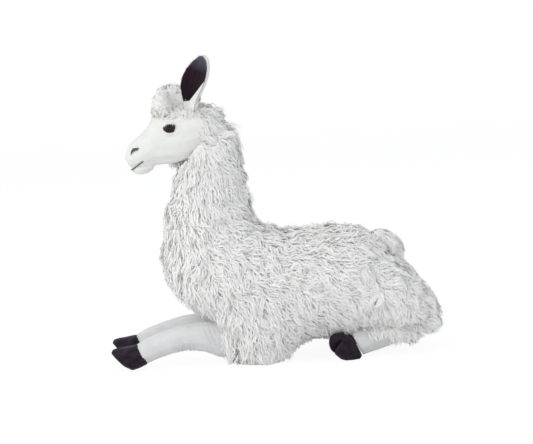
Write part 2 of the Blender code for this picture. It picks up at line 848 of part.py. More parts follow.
def ear_point(side, along, share, across, depth, widen=0.0):
    """Point of the cupped ear leaf: along it, across its width from -1 to 1, and depth behind its face."""
    sideways = (EAR_HALF_WIDTH * share + widen) * across
    hollow = EAR_CUP * (1.0 - across * across) * math.sin(math.pi * (1.0 + 3.0 * along) / 4.0) + depth
    height = along * (EAR_LENGTH + widen)
    sweep = EAR_ARCH * math.sin(math.pi * along)
    forward = Vector((-math.cos(EAR_TURN), -side * math.sin(EAR_TURN), 0))
    outward = Vector((-math.sin(EAR_TURN), side * math.cos(EAR_TURN), 0))
    rise = Vector((math.sin(EAR_LEAN), 0, math.cos(EAR_LEAN)))
    base = Vector((EAR_BASE, side * EAR_SPREAD, HEAD_TOP - EAR_SINK))
    return base + rise * height + forward * (sideways + sweep) - outward * hollow


def ear_leaf(name, side, front, back, widen=0.0):
    """Curved leaf of fabric between two depths behind the ear's face."""
    steps = len(EAR_PROFILE) - 1
    strips = EAR_STRIPS
    points = []
    for depth in (front, back):
        for along, share in EAR_PROFILE:
            for column in range(strips + 1):
                across = -1.0 + 2.0 * column / strips
                points.append(ear_point(side, along, share, across, depth, widen))
    sheet = (steps + 1) * (strips + 1)
    row_length = strips + 1
    faces = []
    for row in range(steps):
        for column in range(strips):
            first = row * row_length + column
            square = (first, first + 1, first + row_length + 1, first + row_length)
            faces.append(square)
            faces.append(tuple(sheet + corner for corner in square))
    border = [column for column in range(strips)]
    border += [row * row_length + strips for row in range(steps)]
    border += [steps * row_length + strips - column for column in range(strips)]
    border += [(steps - row) * row_length for row in range(steps)]
    for place, first in enumerate(border):
        after = border[(place + 1) % len(border)]
        faces.append((first, after, sheet + after, sheet + first))
    return mesh_from(name, points, faces)


def build_ears():
    """Cupped ear shells, each with its dark lining inside a narrow hem."""
    made = {}
    for label, side in SIDES.items():
        lining = ear_leaf("ear_lining_" + label, side, 0.0, EAR_LINING, -EAR_HEM)
        shell_front = EAR_LINING + CLEARANCE
        shell = ear_leaf("ear_shell_" + label, side, shell_front, shell_front + EAR_SHELL)
        for piece in (lining, shell):
            cut(piece, head_form("head_top", 0.0, -CLEARANCE))
        made["ear_lining_" + label] = lining
        made["ear_shell_" + label] = shell
    return made


def topknot_sections():
    """Upright sections of the fluff on the crown, from the forehead to the neck."""
    front = MUZZLE_TIP + TOPKNOT_SETBACK
    sections = []
    for along, top, width in TOPKNOT_PROFILE:
        x = front + along * TOPKNOT_LENGTH
        upper = (x, HEAD_TOP + top * TOPKNOT_RISE)
        lower = (x, HEAD_TOP - TOPKNOT_SINK)
        sections.append(Section(upper, lower, width * TOPKNOT_HALF_WIDTH, 0.0))
    return sections


def build_topknot():
    """Fluff of finer pile without its tufts: wide on the forehead, and a ridge between the ears behind it."""
    topknot = loft("topknot", topknot_sections(), 0.0, CROWN_FACETS)
    square_up(topknot, TOPKNOT_TUFT_SPACING)
    ear_front = EAR_BASE - EAR_HALF_WIDTH - EAR_ARCH - EAR_ROOM
    for side in SIDES.values():
        near, far = sorted((side * RIDGE_HALF_WIDTH, side * FAR))
        cut(topknot, box("ear_room", (ear_front, near, 0.0), (FAR, far, 2 * FAR)))
    cut(topknot, head_form("head_top", 0.0, -CLEARANCE))
    return topknot


def tail_sections():
    """Sections of the tail tuft, square to its drooping axis."""
    along_torso, up_torso = TAIL_ROOT
    root = Vector((TORSO_FRONT + along_torso * TORSO_LENGTH, 0, TORSO_BOTTOM + up_torso * TORSO_HEIGHT))
    axis = Vector((math.cos(TAIL_DROOP), 0, -math.sin(TAIL_DROOP)))
    square = Vector((math.sin(TAIL_DROOP), 0, math.cos(TAIL_DROOP)))
    sections = []
    for along, share in TAIL_PROFILE:
        arch = TAIL_ARCH * math.sin(math.pi * max(0.0, along))
        centre = root + axis * along * TAIL_LENGTH + square * arch
        top = centre + square * TAIL_HALF_DEPTH * share
        bottom = centre - square * TAIL_HALF_DEPTH * share
        sections.append(Section((top.x, top.z), (bottom.x, bottom.z), share * TAIL_HALF_WIDTH, 0.0))
    return sections


def open_for_neighbours(cover, limbs):
    """Cut the cover, or its stuffing, flat on the ground and open it for the head and the legs."""
    cut(cover, ground_box(), head_form("head_room", 0.0, -CLEARANCE))
    for sections in limbs:
        cut(cover, loft("leg_room", sections, -CLEARANCE, LIMB_FACETS, flat_ends=True))


def build_fleece(limbs, tail, topknot):
    """Long-pile cover without its tufts: squared for them, opened for what it meets, and then hollowed."""
    fleece = fleece_forms("fleece_cover")
    square_up(fleece, FLEECE_TUFT_SPACING)
    open_for_neighbours(fleece, limbs)
    cut(fleece, swollen_copy("tail_room", tail, 2 * CLEARANCE))
    cut(fleece, swollen_copy("crown_room", topknot, 2 * CLEARANCE))
    cut(fleece, fleece_forms("cavity", FLEECE_WALL))
    return fleece


def build_stuffing(limbs):
    """Filling of the cover, clear of the head beside which the cover runs up."""
    stuffing = fleece_forms("body_stuffing", FLEECE_WALL, CLEARANCE)
    cut(stuffing, box("head_side_room", (MUZZLE_TIP, -FAR, NECK_SEAT), (HEAD_BACK - CLEARANCE, FAR, FAR)))
    open_for_neighbours(stuffing, limbs)
    return stuffing


def build_tail():
    """Tail without its tufts, seated half a wall deep in the pile of the rump."""
    tail = loft("tail", tail_sections())
    square_up(tail, TAIL_TUFT_SPACING)
    cut(tail, fleece_forms("tail_seat", 0.0, TAIL_SINK * FLEECE_WALL))
    return tail


def swollen_copy(name, shape, amount):
    """Copy of a shape, grown along its normals to make room for it."""
    grown = add_object(name, shape.data.copy())
    for vertex in shape.data.vertices:
        grown.data.vertices[vertex.index].co = vertex.co + vertex.normal * amount
    return grown


def leg_pieces(label, skin_name, stuffing_name, sections):
    """Tube of short pile with its stuffing, open at both ends."""
    skin = loft(skin_name + label, sections, 0.0, LIMB_FACETS, flat_ends=True)
    ends = stretched_end(sections[0], sections[1]), stretched_end(sections[-1], sections[-2])
    bore = [ends[0]] + sections[1:-1] + [ends[1]]
    cut(skin, loft("bore", bore, SKIN_WALL, LIMB_FACETS, flat_ends=True))
    stuffing = loft(stuffing_name + label, sections, SKIN_WALL + CLEARANCE, LIMB_FACETS, flat_ends=True)
    return skin, stuffing


def stretched_end(end, inner):
    """End section moved a little outwards along the limb."""
    end_centre, half = section_frame(end)
    inner_centre, other_half = section_frame(inner)
    shift = (end_centre - inner_centre).normalized() * 3 * SKIN_WALL
    top = (end.top[0] + shift.x, end.top[1] + shift.z)
    bottom = (end.bottom[0] + shift.x, end.bottom[1] + shift.z)
    return Section(top, bottom, end.half_width, end.middle + shift.y)


def hoof_shape(name, seam, limb_axis, side, profile, length, turn, roll):
    """Hoof from its limb's end to two toes with a cleft between, turned outwards, its inner toe rolled up."""
    top = Vector((seam.top[0], seam.middle, seam.top[1])) + limb_axis * CLEARANCE
    bottom = Vector((seam.bottom[0], seam.middle, seam.bottom[1])) + limb_axis * CLEARANCE
    forward = Vector((-math.cos(turn), side * math.sin(turn), 0))
    level = Vector((math.sin(turn) * side, math.cos(turn), 0))
    upright = Vector((0, 0, 1))
    points = []
    for along, upper, lower, width in profile:
        high = top + forward * along * (length - (bottom.x - top.x))
        low = bottom + forward * along * length
        half = (high - low) / 2
        across = Vector((0, 1, 0))
        if along > 0.0:
            high.z = upper * HOOF_HEIGHT
            low.z = lower * HOOF_HEIGHT
            lean = roll * min(1.0, 2.0 * along)
            stand = (high - low) / 2
            half = stand * math.cos(lean) + level * side * stand.length * math.sin(lean)
            across = level * math.cos(lean) - upright * side * math.sin(lean)
        centre = (high + low) / 2
        for step in range(HOOF_FACETS):
            angle = math.tau * step / HOOF_FACETS
            rise = math.copysign(abs(math.cos(angle)) ** HOOF_ROUNDNESS, math.cos(angle))
            sway = math.copysign(abs(math.sin(angle)) ** HOOF_ROUNDNESS, math.sin(angle))
            points.append(centre + half * rise + across * width * HOOF_HALF_WIDTH * sway)
    rings = len(profile)
    faces = [tuple(range(HOOF_FACETS)), tuple(range((rings - 1) * HOOF_FACETS, rings * HOOF_FACETS))]
    for ring in range(rings - 1):
        for step in range(HOOF_FACETS):
            after = (step + 1) % HOOF_FACETS
            first = ring * HOOF_FACETS
            second = first + HOOF_FACETS
            faces.append((first + step, first + after, second + after))
            faces.append((first + step, second + after, second + step))
    hoof = mesh_from(name, points, faces)
    across = level * math.cos(roll) - upright * side * math.sin(roll)
    stand = upright * math.cos(roll) + level * side * math.sin(roll)
    toe = (top + bottom) / 2 + forward * length
    toe.z = HOOF_HEIGHT / 2
    root = toe - forward * CLEFT_DEPTH
    past = toe + forward * CLEFT_DEPTH
    outline = [root, past + across * 2 * CLEFT_WIDTH, past - across * 2 * CLEFT_WIDTH]
    wedge = [point + stand * reach * 2 * HOOF_HEIGHT for reach in (-1, 1) for point in outline]
    cleft = mesh_from("cleft", wedge, [(0, 1, 2), (3, 4, 5), (0, 1, 4, 3), (1, 2, 5, 4), (2, 0, 3, 5)])
    cut(hoof, cleft, ground_box())
    return hoof


def build_legs():
    """Four legs: skins, their stuffing and their hooves, with the sections that the cover is opened by."""
    made = {}
    limbs = []
    for label, side in SIDES.items():
        plans = (
            ("foreleg_skin_", "foreleg_stuffing_", "fore_hoof_", foreleg_sections(label),
             (FORE_HOOF_PROFILE, FORE_HOOF_LENGTH, 0.0, 0.0)),
            ("hind_shank_skin_", "hind_leg_stuffing_", "hind_hoof_", shank_sections(label),
             (HIND_HOOF_PROFILE, HIND_HOOF_LENGTH, HIND_HOOF_TURN, HIND_HOOF_ROLL)),
        )
        for skin_name, stuffing_name, hoof_name, sections, hoof in plans:
            skin, stuffing = leg_pieces(label, skin_name, stuffing_name, sections)
            made[skin_name + label] = skin
            made[stuffing_name + label] = stuffing
            limb_axis = (section_frame(sections[0])[0] - section_frame(sections[1])[0]).normalized()
            made[hoof_name + label] = hoof_shape(hoof_name + label, sections[0], limb_axis, side, *hoof)
            limbs.append(sections)
    return made, limbs


def give_materials(made):
    """One material of its own for each piece, by what it is made of."""
    finishes = (
        ("hoof", DARK_FINISH), ("ear_lining", DARK_FINISH), ("washer", WASHER_FINISH), ("eye", EYE_FINISH),
        ("nostril", THREAD_FINISH), ("mouth", THREAD_FINISH), ("stuffing", STUFFING_FINISH),
        ("skin", SKIN_FINISH), ("ear_shell", SKIN_FINISH), ("", FLEECE_FINISH),
    )
    for name, piece in made.items():
        finish = next(finish for word, finish in finishes if word in name)
        piece.data.materials.clear()
        piece.data.materials.append(finish_material(name, finish))


def main():
    clear_scene()
    head_skin, head_stuffing = build_head()
    made = build_eyes(head_skin, head_stuffing)
    made["head_skin"] = head_skin
    made["head_stuffing"] = head_stuffing
    made.update(build_stitches())
    made.update(build_ears())
    ears = [piece for name, piece in made.items() if name.startswith("ear")]
    legs, limbs = build_legs()
    made.update(legs)
    tail = build_tail()
    topknot = build_topknot()
    fleece = build_fleece(limbs, tail, topknot)
    grow_tufts(tail, TAIL_TUFT_SPACING, TAIL_TUFT_HEIGHT, TAIL_TUFT_LEAN, downward_direction, [fleece])
    beside = ears + [fleece]
    grow_tufts(topknot, TOPKNOT_TUFT_SPACING, TOPKNOT_TUFT_HEIGHT, TOPKNOT_TUFT_LEAN, upward_direction, beside)
    made["tail"] = tail
    made["topknot"] = topknot
    neighbours = [piece for name, piece in made.items() if "stuffing" not in name and "washer" not in name]
    grow_tufts(fleece, FLEECE_TUFT_SPACING, FLEECE_TUFT_HEIGHT, FLEECE_TUFT_LEAN, comb_direction, neighbours)
    made["fleece_cover"] = fleece
    made["body_stuffing"] = build_stuffing(limbs)
    give_materials(made)


main()
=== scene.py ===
import json
import math

import bpy
import numpy as np
from mathutils import Matrix, Vector, noise
from mathutils.bvhtree import BVHTree
from mathutils.kdtree import KDTree

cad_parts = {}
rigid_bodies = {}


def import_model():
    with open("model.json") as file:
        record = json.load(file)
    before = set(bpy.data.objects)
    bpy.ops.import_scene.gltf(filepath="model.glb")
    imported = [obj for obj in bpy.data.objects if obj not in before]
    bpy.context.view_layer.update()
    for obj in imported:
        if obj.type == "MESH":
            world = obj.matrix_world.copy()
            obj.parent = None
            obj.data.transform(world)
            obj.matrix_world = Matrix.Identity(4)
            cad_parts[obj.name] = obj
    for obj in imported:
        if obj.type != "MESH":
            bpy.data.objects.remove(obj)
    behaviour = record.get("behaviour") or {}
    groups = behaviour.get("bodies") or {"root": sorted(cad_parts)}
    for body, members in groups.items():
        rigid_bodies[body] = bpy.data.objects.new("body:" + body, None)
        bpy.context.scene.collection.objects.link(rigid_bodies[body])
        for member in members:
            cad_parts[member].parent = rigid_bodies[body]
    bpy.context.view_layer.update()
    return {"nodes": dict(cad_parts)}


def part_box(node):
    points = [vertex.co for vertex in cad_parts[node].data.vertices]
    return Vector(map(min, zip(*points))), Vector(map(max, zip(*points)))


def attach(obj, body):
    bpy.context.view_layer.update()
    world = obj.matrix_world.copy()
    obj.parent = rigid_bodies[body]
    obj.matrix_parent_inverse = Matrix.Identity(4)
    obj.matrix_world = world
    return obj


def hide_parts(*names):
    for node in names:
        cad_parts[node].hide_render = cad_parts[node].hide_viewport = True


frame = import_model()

BODY = "root"
NODES = frame["nodes"]
SIDES = {"left": -1, "right": 1}

# Camera, as the photograph was taken: from the llama's left, a little above it, and slightly turned
CAMERA_AT = Vector((-0.0003, -1.750, 0.360))
CAMERA_AIM = Vector((-0.0003, 0.0, 0.1712))
CAMERA_ROLL = math.radians(3.37)
CAMERA_LENS = 94.3
SENSOR_WIDTH = 36.0
FAR_CLIP = 50.0

# Floor, surroundings and lamps: name, place, size (m), power (W) and colour of each lamp
FLOOR_SIZE = 12.0
FLOOR_DROP = 0.0002
FLOOR_GLOW = 1.03
FLOOR_GLOW_SHARE = 0.90
AROUND_COLOUR = (0.935, 0.955, 1.0)
AROUND_STRENGTH = 0.69
WHITE = (1.0, 1.0, 1.0)
LAMP_AIM = Vector((0.0, 0.0, 0.18))
LAMPS = (
    ("key_lamp", (-1.7, -1.4, 1.7), 1.6, 27.0, (1.0, 0.99, 0.965)),
    ("fill_lamp", (1.6, -1.3, 1.2), 1.8, 5.5, WHITE),
    ("back_lamp", (0.2, 1.7, 1.8), 1.6, 6.0, WHITE),
)

# Combing of the long pile: a place (x, z) on the side, and the way its hair lies there
COMBING = (
    ((-0.045, 0.320), (1.00, 0.00)),
    ((-0.070, 0.300), (0.75, -0.70)),
    ((-0.080, 0.240), (0.10, -1.00)),
    ((-0.045, 0.240), (0.75, -0.80)),
    ((-0.115, 0.200), (-0.30, -1.00)),
    ((-0.110, 0.135), (0.00, -1.00)),
    ((-0.030, 0.190), (0.80, -0.80)),
    ((-0.035, 0.130), (0.70, -0.75)),
    ((-0.030, 0.060), (0.20, -1.00)),
    ((-0.060, 0.030), (-0.35, -1.00)),
    ((0.045, 0.120), (1.00, -0.35)),
    ((0.050, 0.050), (0.75, -0.65)),
    ((0.090, 0.060), (0.50, -0.80)),
    ((0.115, 0.130), (0.95, -0.40)),
    ((0.130, 0.060), (-0.10, -1.00)),
    ((0.165, 0.090), (0.55, -0.80)),
    ((0.190, 0.050), (0.80, -0.60)),
)
COMB_REACH = 0.022

# How finely each soft copy is remeshed (m), and how often it is softened
FINENESS = {
    "undercoat": (0.0050, 6),
    "tail": (0.0035, 4),
    "crown": (0.0030, 14),
    "face": (0.0014, 9),
    "leg": (0.0018, 8),
    "hoof": (0.0012, 2),
    "ear_back": (0.0011, 3),
    "ear_inside": (0.0008, 2),
}

# Edges of the long pile on the face and legs, as (height, place along the toy): behind each its locks grow
FACE_EDGE = ((0.2526, -0.1153), (0.2560, -0.0943), (0.2640, -0.0843), (0.2800, -0.0743), (0.3600, -0.0700))
FORELEG_EDGE = ((0.0050, -0.0510), (0.0300, -0.0580), (0.0560, -0.0630))
SHANK_EDGE = ((0.0100, 0.1740), (0.0330, 0.1497), (0.0345, 0.1220), (0.0600, 0.1000))
EDGE_RAGGED = 0.010

# How near to other pieces and to the floor the roots of the long pile may be, and how deep in the coat
STUFFING_GAP = 0.0042
FLOOR_GAP = 0.0015
LEG_GAP = 0.0012
EAR_GAP = 0.0035
COAT_DEPTH = 0.0010
FACE_COAT_DEPTH = 0.0040

# Collar, where the pile of head and neck meet and bridge their seam
COLLAR_LOW = 0.2480
COLLAR_REACH = 0.0080
NECK_AXIS = -0.0760
BRIDGE_REACH = 0.012
BRIDGE_SHARE = 0.9

# Long pile: spacing, usual length and width, what they gain or lose in places, and the press at its sides
PILE_SPACING = 0.00164
PILE_LENGTH = 0.0205
THROAT_CUT = 0.0070
NAPE_GAIN = 0.0060
LOW_CUT = 0.004
BELLY_CUT = 0.006
HAUNCH_CUT = 0.0055
PILE_WIDTH = 0.0017
THROAT_WIDTH_CUT = 0.0004
SIDE_LIMIT = 0.0740
SIDE_PRESS = 0.45

# Regions of the long pile: heights, or places along the toy, between which each begins or ends
THROAT_HEIGHTS = (0.180, 0.290)
NAPE_HEIGHTS = (0.255, 0.285)
NAPE_PLACES = (-0.085, -0.065)
LOW_HEIGHTS = (0.004, 0.050)
BELLY_FRONT = (0.000, 0.030)
BELLY_REAR = (0.080, 0.100)
HAUNCH_PLACES = (0.100, 0.135)
HAUNCH_HEIGHTS = (0.030, 0.060)

# Lift, droop and waves of the locks, pull and share of their clumps, and size, turn and offset of swirls
PILE_SHAPE = (0.52, 0.10, 0.14)
PILE_CLUMPS = (0.42, 0.045)
PILE_SWIRL = (0.015, 1.7, 0.0)
TAIL_SHAPE = (0.32, 0.10, 0.10)
TAIL_CLUMPS = (0.50, 0.05)
TAIL_SWIRL = (0.012, 1.6, 5.0)
CROWN_DROOP = 0.02
CROWN_WAVES = 0.16
CROWN_CLUMPS = (0.40, 0.07)
LASH_SHAPE = (0.10, 0.0, 0.02)

# Tail tuft
TAIL_SPACING = 0.0015
TAIL_GAP = 0.0030
TAIL_WAY = (0.45, 0.0, -1.0)
TAIL_LENGTH = 0.0125
TAIL_WIDTH = 0.0016

# Fluff of the crown, fanned out from the head's middle: on the topknot, and on pieces between two heights
HEAD_CENTRE = (-0.1000, 0.0, 0.3000)
CROWN_ROUND = 0.9
CROWN_SPACING = 0.00105
HEAD_FLUFF_SPACING = 0.00115
HEAD_FLUFF = (
    ("face", 0.3050, 0.4000),
    ("ear_back_left", 0.3000, 0.3250),
    ("ear_back_right", 0.3000, 0.3250),
)
HEAD_FLUFF_FRONT = -0.1400
HEAD_FLUFF_REAR = -0.0600
HEAD_FLUFF_RAGGED = 0.005
HEAD_FLUFF_DEPTH = 0.0005
CROWN_HEAD_GAP = 0.0010
CROWN_LINING_GAP = 0.0030
CROWN_WAY_UP = (-0.25, 0.0, 0.9)
CROWN_WAY_DOWN = (0.15, 0.0, -1.0)
TOPKNOT_LENGTH = 0.0090
HEAD_FLUFF_LENGTH = 0.0024
HEAD_FLUFF_GAIN = 0.0056
CROWN_WIDTH = 0.0011
CROWN_UPPER_HEIGHTS = (0.3180, 0.3340)
HEAD_FLUFF_HEIGHTS = (0.3040, 0.3120)

# Folds and seams of the face (x, z), with how far each stands proud or sinks, and how wide it is
BROW = ((-0.1290, 0.2990), (-0.1210, 0.3060), (-0.1110, 0.3085), (-0.0990, 0.3050))
EYE_CREASE = ((-0.1050, 0.3000), (-0.0985, 0.3000), (-0.0930, 0.2960))
JAW_SEAM = ((-0.1363, 0.2605), (-0.1150, 0.2590), (-0.0943, 0.2575))
FACE_FOLDS = (
    (BROW, 0.0015, 0.0028),
    (EYE_CREASE, -0.0015, 0.0018),
    (JAW_SEAM, -0.0010, 0.0012),
)

# Creases of the forelegs: middle (x, z), reach, wave length, height and noise offset
LEG_CREASES = (
    ((-0.108, 0.026), (0.014, 0.012), 0.0052, 0.0011, 3.0),
    ((-0.078, 0.036), (0.008, 0.016), 0.0060, 0.0010, 7.0),
)
LEAST_CREASE = 0.02

# Ear lining: its slanting rear edge, the height of its foot, and how soft those edges are
LINING_EDGE = (0.748, 0.0, -0.663)
LINING_EDGE_AT = -0.2831
LINING_EDGE_SOFT = 0.0004
LINING_LOW = 0.3290
LINING_LOW_SOFT = 0.0005

# Eye opening between the lids, with its place back of and above the eye's pole
LID_CENTRE = (0.0006, 0.0012)
LID_HALF_WIDTH = 0.0084
LID_RISE = 0.0050
LID_DROP = 0.0056
LID_REACH = 0.0048
LID_FLATNESS = 0.86
LID_GAP = 0.0003
LID_SINK = 0.0004
LID_ROLL = 0.0008
LID_TUCK = 0.0006
LID_STEPS = 40
LID_RINGS = (0.0, 0.10, 0.30, 0.55, 0.80, 1.0)

# Lashes of each upper lid
LASHES = 6
LASH_STAND = 0.0012
LASH_LENGTH = 0.0028
LASH_WIDTH = 0.0011

# Locks: segments from root to tip, depth of the root, least height, twist, and share of soft shading
PILE_STEPS = 5
FLUFF_STEPS = 4
ROOT_DEPTH = 0.0010
LOCK_LOW = 0.0004
LOCK_LOW_SPREAD = 0.0010
TIP_TWIST = 0.8
ROOT_TWIST = 0.7
SOFT_SHARE = 0.88

# Most triangles in one piece of the long pile
MOST_TRIANGLES = 190000

# Seeds of the random draws
FLEECE_SEED = 11
CROWN_SEED = 21
TAIL_SEED = 22
LASH_SEED = 31


def link(piece):
    """Put a new object into the scene."""
    bpy.context.scene.collection.objects.link(piece)
    return piece


def dressed(piece, slot, *nodes):
    """Let a piece ride on the llama and stand for its CAD nodes; its slot is not used."""
    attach(piece, BODY)
    if nodes:
        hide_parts(*nodes)


def covered(piece, material, slot, node):
    """Give a soft copy its material, in place of its CAD node; its slot is passed on but not used."""
    piece.data.materials.append(material)
    dressed(piece, slot, node)


class Material:
    """Small helper that adds nodes to one procedural material."""

    def __init__(self, name):
        self.material = bpy.data.materials.new(name)
        self.material.use_nodes = True
        self.tree = self.material.node_tree
        self.shader = self.tree.nodes["Principled BSDF"]

    def node(self, kind, **values):
        """New node with its settings and unlinked inputs."""
        made = self.tree.nodes.new(kind)
        for key, value in values.items():
            if key.startswith("in_"):
                made.inputs[key[3:].replace("_", " ")].default_value = value
            else:
                setattr(made, key, value)
        return made

    def link(self, start, end):
        """Link two sockets."""
        self.tree.links.new(start, end)

    def colour(self, socket):
        """Colour of the shader from a socket."""
        self.link(socket, self.shader.inputs["Base Color"])

    def set(self, **values):
        """Plain values on the shader's own sockets."""
        for key, value in values.items():
            self.shader.inputs[key.replace("_", " ")].default_value = value

    def place(self):
        """Place on the object."""
        return self.node("ShaderNodeTexCoord").outputs["Object"]

    def part(self, vector, axis):
        """One part of a vector."""
        made = self.node("ShaderNodeSeparateXYZ")
        self.link(vector, made.inputs["Vector"])
        return made.outputs[axis]

    def stretched(self, vector, scale):
        """A vector scaled along its axes."""
        made = self.node("ShaderNodeMapping")
        made.inputs["Scale"].default_value = scale
        self.link(vector, made.inputs["Vector"])
        return made.outputs["Vector"]

    def along(self, vector, way):
        """How far a vector reaches along a way."""
        made = self.node("ShaderNodeVectorMath", operation="DOT_PRODUCT")
        made.inputs[1].default_value = way
        self.link(vector, made.inputs[0])
        return made.outputs["Value"]

    def ranged(self, value, low, high):
        """Share from 0 at low to 1 at high."""
        made = self.node("ShaderNodeMapRange", in_From_Min=low, in_From_Max=high)
        self.link(value, made.inputs["Value"])
        return made.outputs["Result"]

    def ramp(self, factor, stops):
        """Colour ramp from (place, colour) stops."""
        made = self.node("ShaderNodeValToRGB")
        elements = made.color_ramp.elements
        while len(elements) < len(stops):
            elements.new(0.5)
        for element, (place, colour) in zip(elements, stops):
            element.position = place
            element.color = (*colour, 1.0)
        self.link(factor, made.inputs["Fac"])
        return made.outputs["Color"]

    def noise(self, scale, detail, vector=None):
        """Noise value over a vector, or over the object."""
        made = self.node("ShaderNodeTexNoise", in_Scale=scale, in_Detail=detail)
        self.link(self.place() if vector is None else vector, made.inputs["Vector"])
        return made.outputs["Fac"]

    def mix(self, factor, first, second, blend="MIX"):
        """Colour mixed from two sockets or plain colours."""
        made = self.node("ShaderNodeMix", data_type="RGBA", blend_type=blend)
        for place, value in ((0, factor), (6, first), (7, second)):
            if isinstance(value, bpy.types.NodeSocket):
                self.link(value, made.inputs[place])
            elif place == 0:
                made.inputs[place].default_value = value
            else:
                made.inputs[place].default_value = (*value, 1.0)
        return made.outputs[2]

    def bump(self, height, strength, distance):
        """Bump from a height socket, into the shader's normal."""
        made = self.node("ShaderNodeBump", in_Strength=strength, in_Distance=distance)
        self.link(height, made.inputs["Height"])
        self.link(made.outputs["Normal"], self.shader.inputs["Normal"])


def long_pile_material():
    """Wavy cream fur: darker and warmer at its roots as painted shade between the locks, pale at its tips,
    and streaked along each lock.
    """
    made = Material("long_pile")
    coordinates = made.node("ShaderNodeUVMap", uv_map="OFBake").outputs["UV"]
    # Root-to-tip ramp: the darker, warmer roots are painted shade for the depth among the locks.
    painted_root_shade = made.ramp(made.part(coordinates, "Y"), (
        (0.00, (0.92, 0.89, 0.83)),
        (0.15, (0.95, 0.94, 0.91)),
        (0.40, (0.97, 0.968, 0.952)),
        (1.00, (0.975, 0.973, 0.96)),
    ))
    streaks = made.noise(1.0, 3.0, made.stretched(coordinates, (420.0, 2.5, 1.0)))
    shades = made.ramp(streaks, ((0.30, (0.96, 0.96, 0.965)), (0.70, WHITE)))
    streaked = made.mix(1.0, painted_root_shade, shades, "MULTIPLY")
    each = made.noise(1.0, 0.0, made.stretched(coordinates, (97.0, 0.0, 1.0)))
    warmth = made.ramp(each, (
        (0.30, (0.97, 0.975, 0.99)),
        (0.50, WHITE),
        (0.72, (1.0, 0.99, 0.955)),
    ))
    made.colour(made.mix(1.0, streaked, warmth, "MULTIPLY"))
    made.bump(streaks, 0.25, 0.0006)
    made.set(Roughness=0.9, Specular_IOR_Level=0.05)
    return made.material


def undercoat_material():
    """Backing of the long pile, as it shows between the locks."""
    made = Material("undercoat")
    fine = made.noise(900.0, 4.0)
    broad = made.noise(60.0, 2.0)
    clouds = made.ramp(broad, ((0.30, (0.86, 0.84, 0.82)), (0.70, (0.92, 0.91, 0.90))))
    specks = made.ramp(fine, ((0.3, (0.80, 0.78, 0.76)), (0.7, (0.93, 0.92, 0.91))))
    made.colour(made.mix(0.35, clouds, specks))
    made.bump(fine, 0.8, 0.0012)
    made.set(Roughness=0.95, Sheen_Weight=0.2, Specular_IOR_Level=0.2)
    return made.material


def short_pile_material(name, low, high):
    """Short brushed pile: fine nap, faint clouding and a soft sheen."""
    made = Material(name)
    nap = made.noise(1600.0, 3.0)
    clouds = made.noise(70.0, 3.0)
    cloudy = made.ramp(clouds, ((0.32, low), (0.68, high)))
    speckle = made.ramp(nap, ((0.25, (0.93, 0.93, 0.93)), (0.75, WHITE)))
    made.colour(made.mix(1.0, cloudy, speckle, "MULTIPLY"))
    made.bump(nap, 0.5, 0.0005)
    made.set(Roughness=0.88, Sheen_Weight=0.3, Sheen_Roughness=0.5, Specular_IOR_Level=0.25)
    return made.material


def hoof_material():
    """Dark short pile of the hooves, with brushed paler patches."""
    made = Material("hoof_pile")
    nap = made.noise(1300.0, 3.0)
    brushed = made.noise(120.0, 4.0)
    patches = made.ramp(brushed, ((0.35, (0.012, 0.006, 0.012)), (0.80, (0.036, 0.026, 0.042))))
    speckle = made.ramp(nap, ((0.25, (0.75, 0.75, 0.78)), (0.75, (1.15, 1.12, 1.15))))
    made.colour(made.mix(1.0, patches, speckle, "MULTIPLY"))
    made.bump(nap, 0.5, 0.0005)
    made.set(Roughness=0.8, Sheen_Weight=0.10, Sheen_Roughness=0.4, Specular_IOR_Level=0.15)
    return made.material


def ear_material():
    """Ear lining: maroon-black low in the cup, blue-grey towards its tip as a painted sheen, streaked, and
    white past its edges.
    """
    made = Material("ear_pile")
    place = made.place()
    from_low = made.ranged(made.along(place, (6.0, 0.0, 15.0)), 4.55, 5.40)
    # The blue-grey towards the tip is a painted sheen on the dark lining.
    blend = made.ramp(from_low, (
        (0.00, (0.012, 0.006, 0.010)),
        (0.55, (0.020, 0.008, 0.013)),
        (0.72, (0.055, 0.050, 0.070)),
        (1.00, (0.110, 0.115, 0.150)),
    ))
    nap = made.noise(1.0, 3.0, made.stretched(place, (900.0, 900.0, 60.0)))
    streaks = made.ramp(nap, ((0.30, (0.70, 0.70, 0.74)), (0.72, (1.35, 1.32, 1.40))))
    dark = made.mix(1.0, blend, streaks, "MULTIPLY")
    across = made.along(place, LINING_EDGE)
    rear = made.ranged(across, LINING_EDGE_AT - LINING_EDGE_SOFT, LINING_EDGE_AT + LINING_EDGE_SOFT)
    foot = made.ranged(made.part(place, "Z"), LINING_LOW + LINING_LOW_SOFT, LINING_LOW - LINING_LOW_SOFT)
    either = made.node("ShaderNodeMath", operation="MAXIMUM")
    made.link(rear, either.inputs[0])
    made.link(foot, either.inputs[1])
    made.colour(made.mix(either.outputs["Value"], dark, (0.84, 0.845, 0.805)))
    made.bump(nap, 0.4, 0.0005)
    made.set(Roughness=0.85, Sheen_Weight=0.08, Specular_IOR_Level=0.12)
    return made.material


def eye_material():
    """Glossy dark brown plastic, faintly clouded."""
    made = Material("eye_plastic")
    cloud = made.noise(200.0, 2.0)
    made.colour(made.ramp(cloud, ((0.3, (0.006, 0.003, 0.003)), (0.7, (0.020, 0.009, 0.007)))))
    rough = made.node("ShaderNodeMapRange", in_To_Min=0.10, in_To_Max=0.18)
    made.link(cloud, rough.inputs["Value"])
    made.link(rough.outputs["Result"], made.shader.inputs["Roughness"])
    made.set(Specular_IOR_Level=0.25)
    return made.material


def thread_material():
    """Dark embroidery thread with its stitches."""
    made = Material("dark_thread")
    wave = made.node("ShaderNodeTexWave", in_Scale=420.0, in_Distortion=1.5)
    made.link(made.place(), wave.inputs["Vector"])
    stitches = wave.outputs["Fac"]
    made.colour(made.ramp(stitches, ((0.2, (0.030, 0.032, 0.045)), (0.8, (0.085, 0.092, 0.120)))))
    made.bump(stitches, 0.6, 0.0004)
    made.set(Roughness=0.7, Sheen_Weight=0.2)
    return made.material


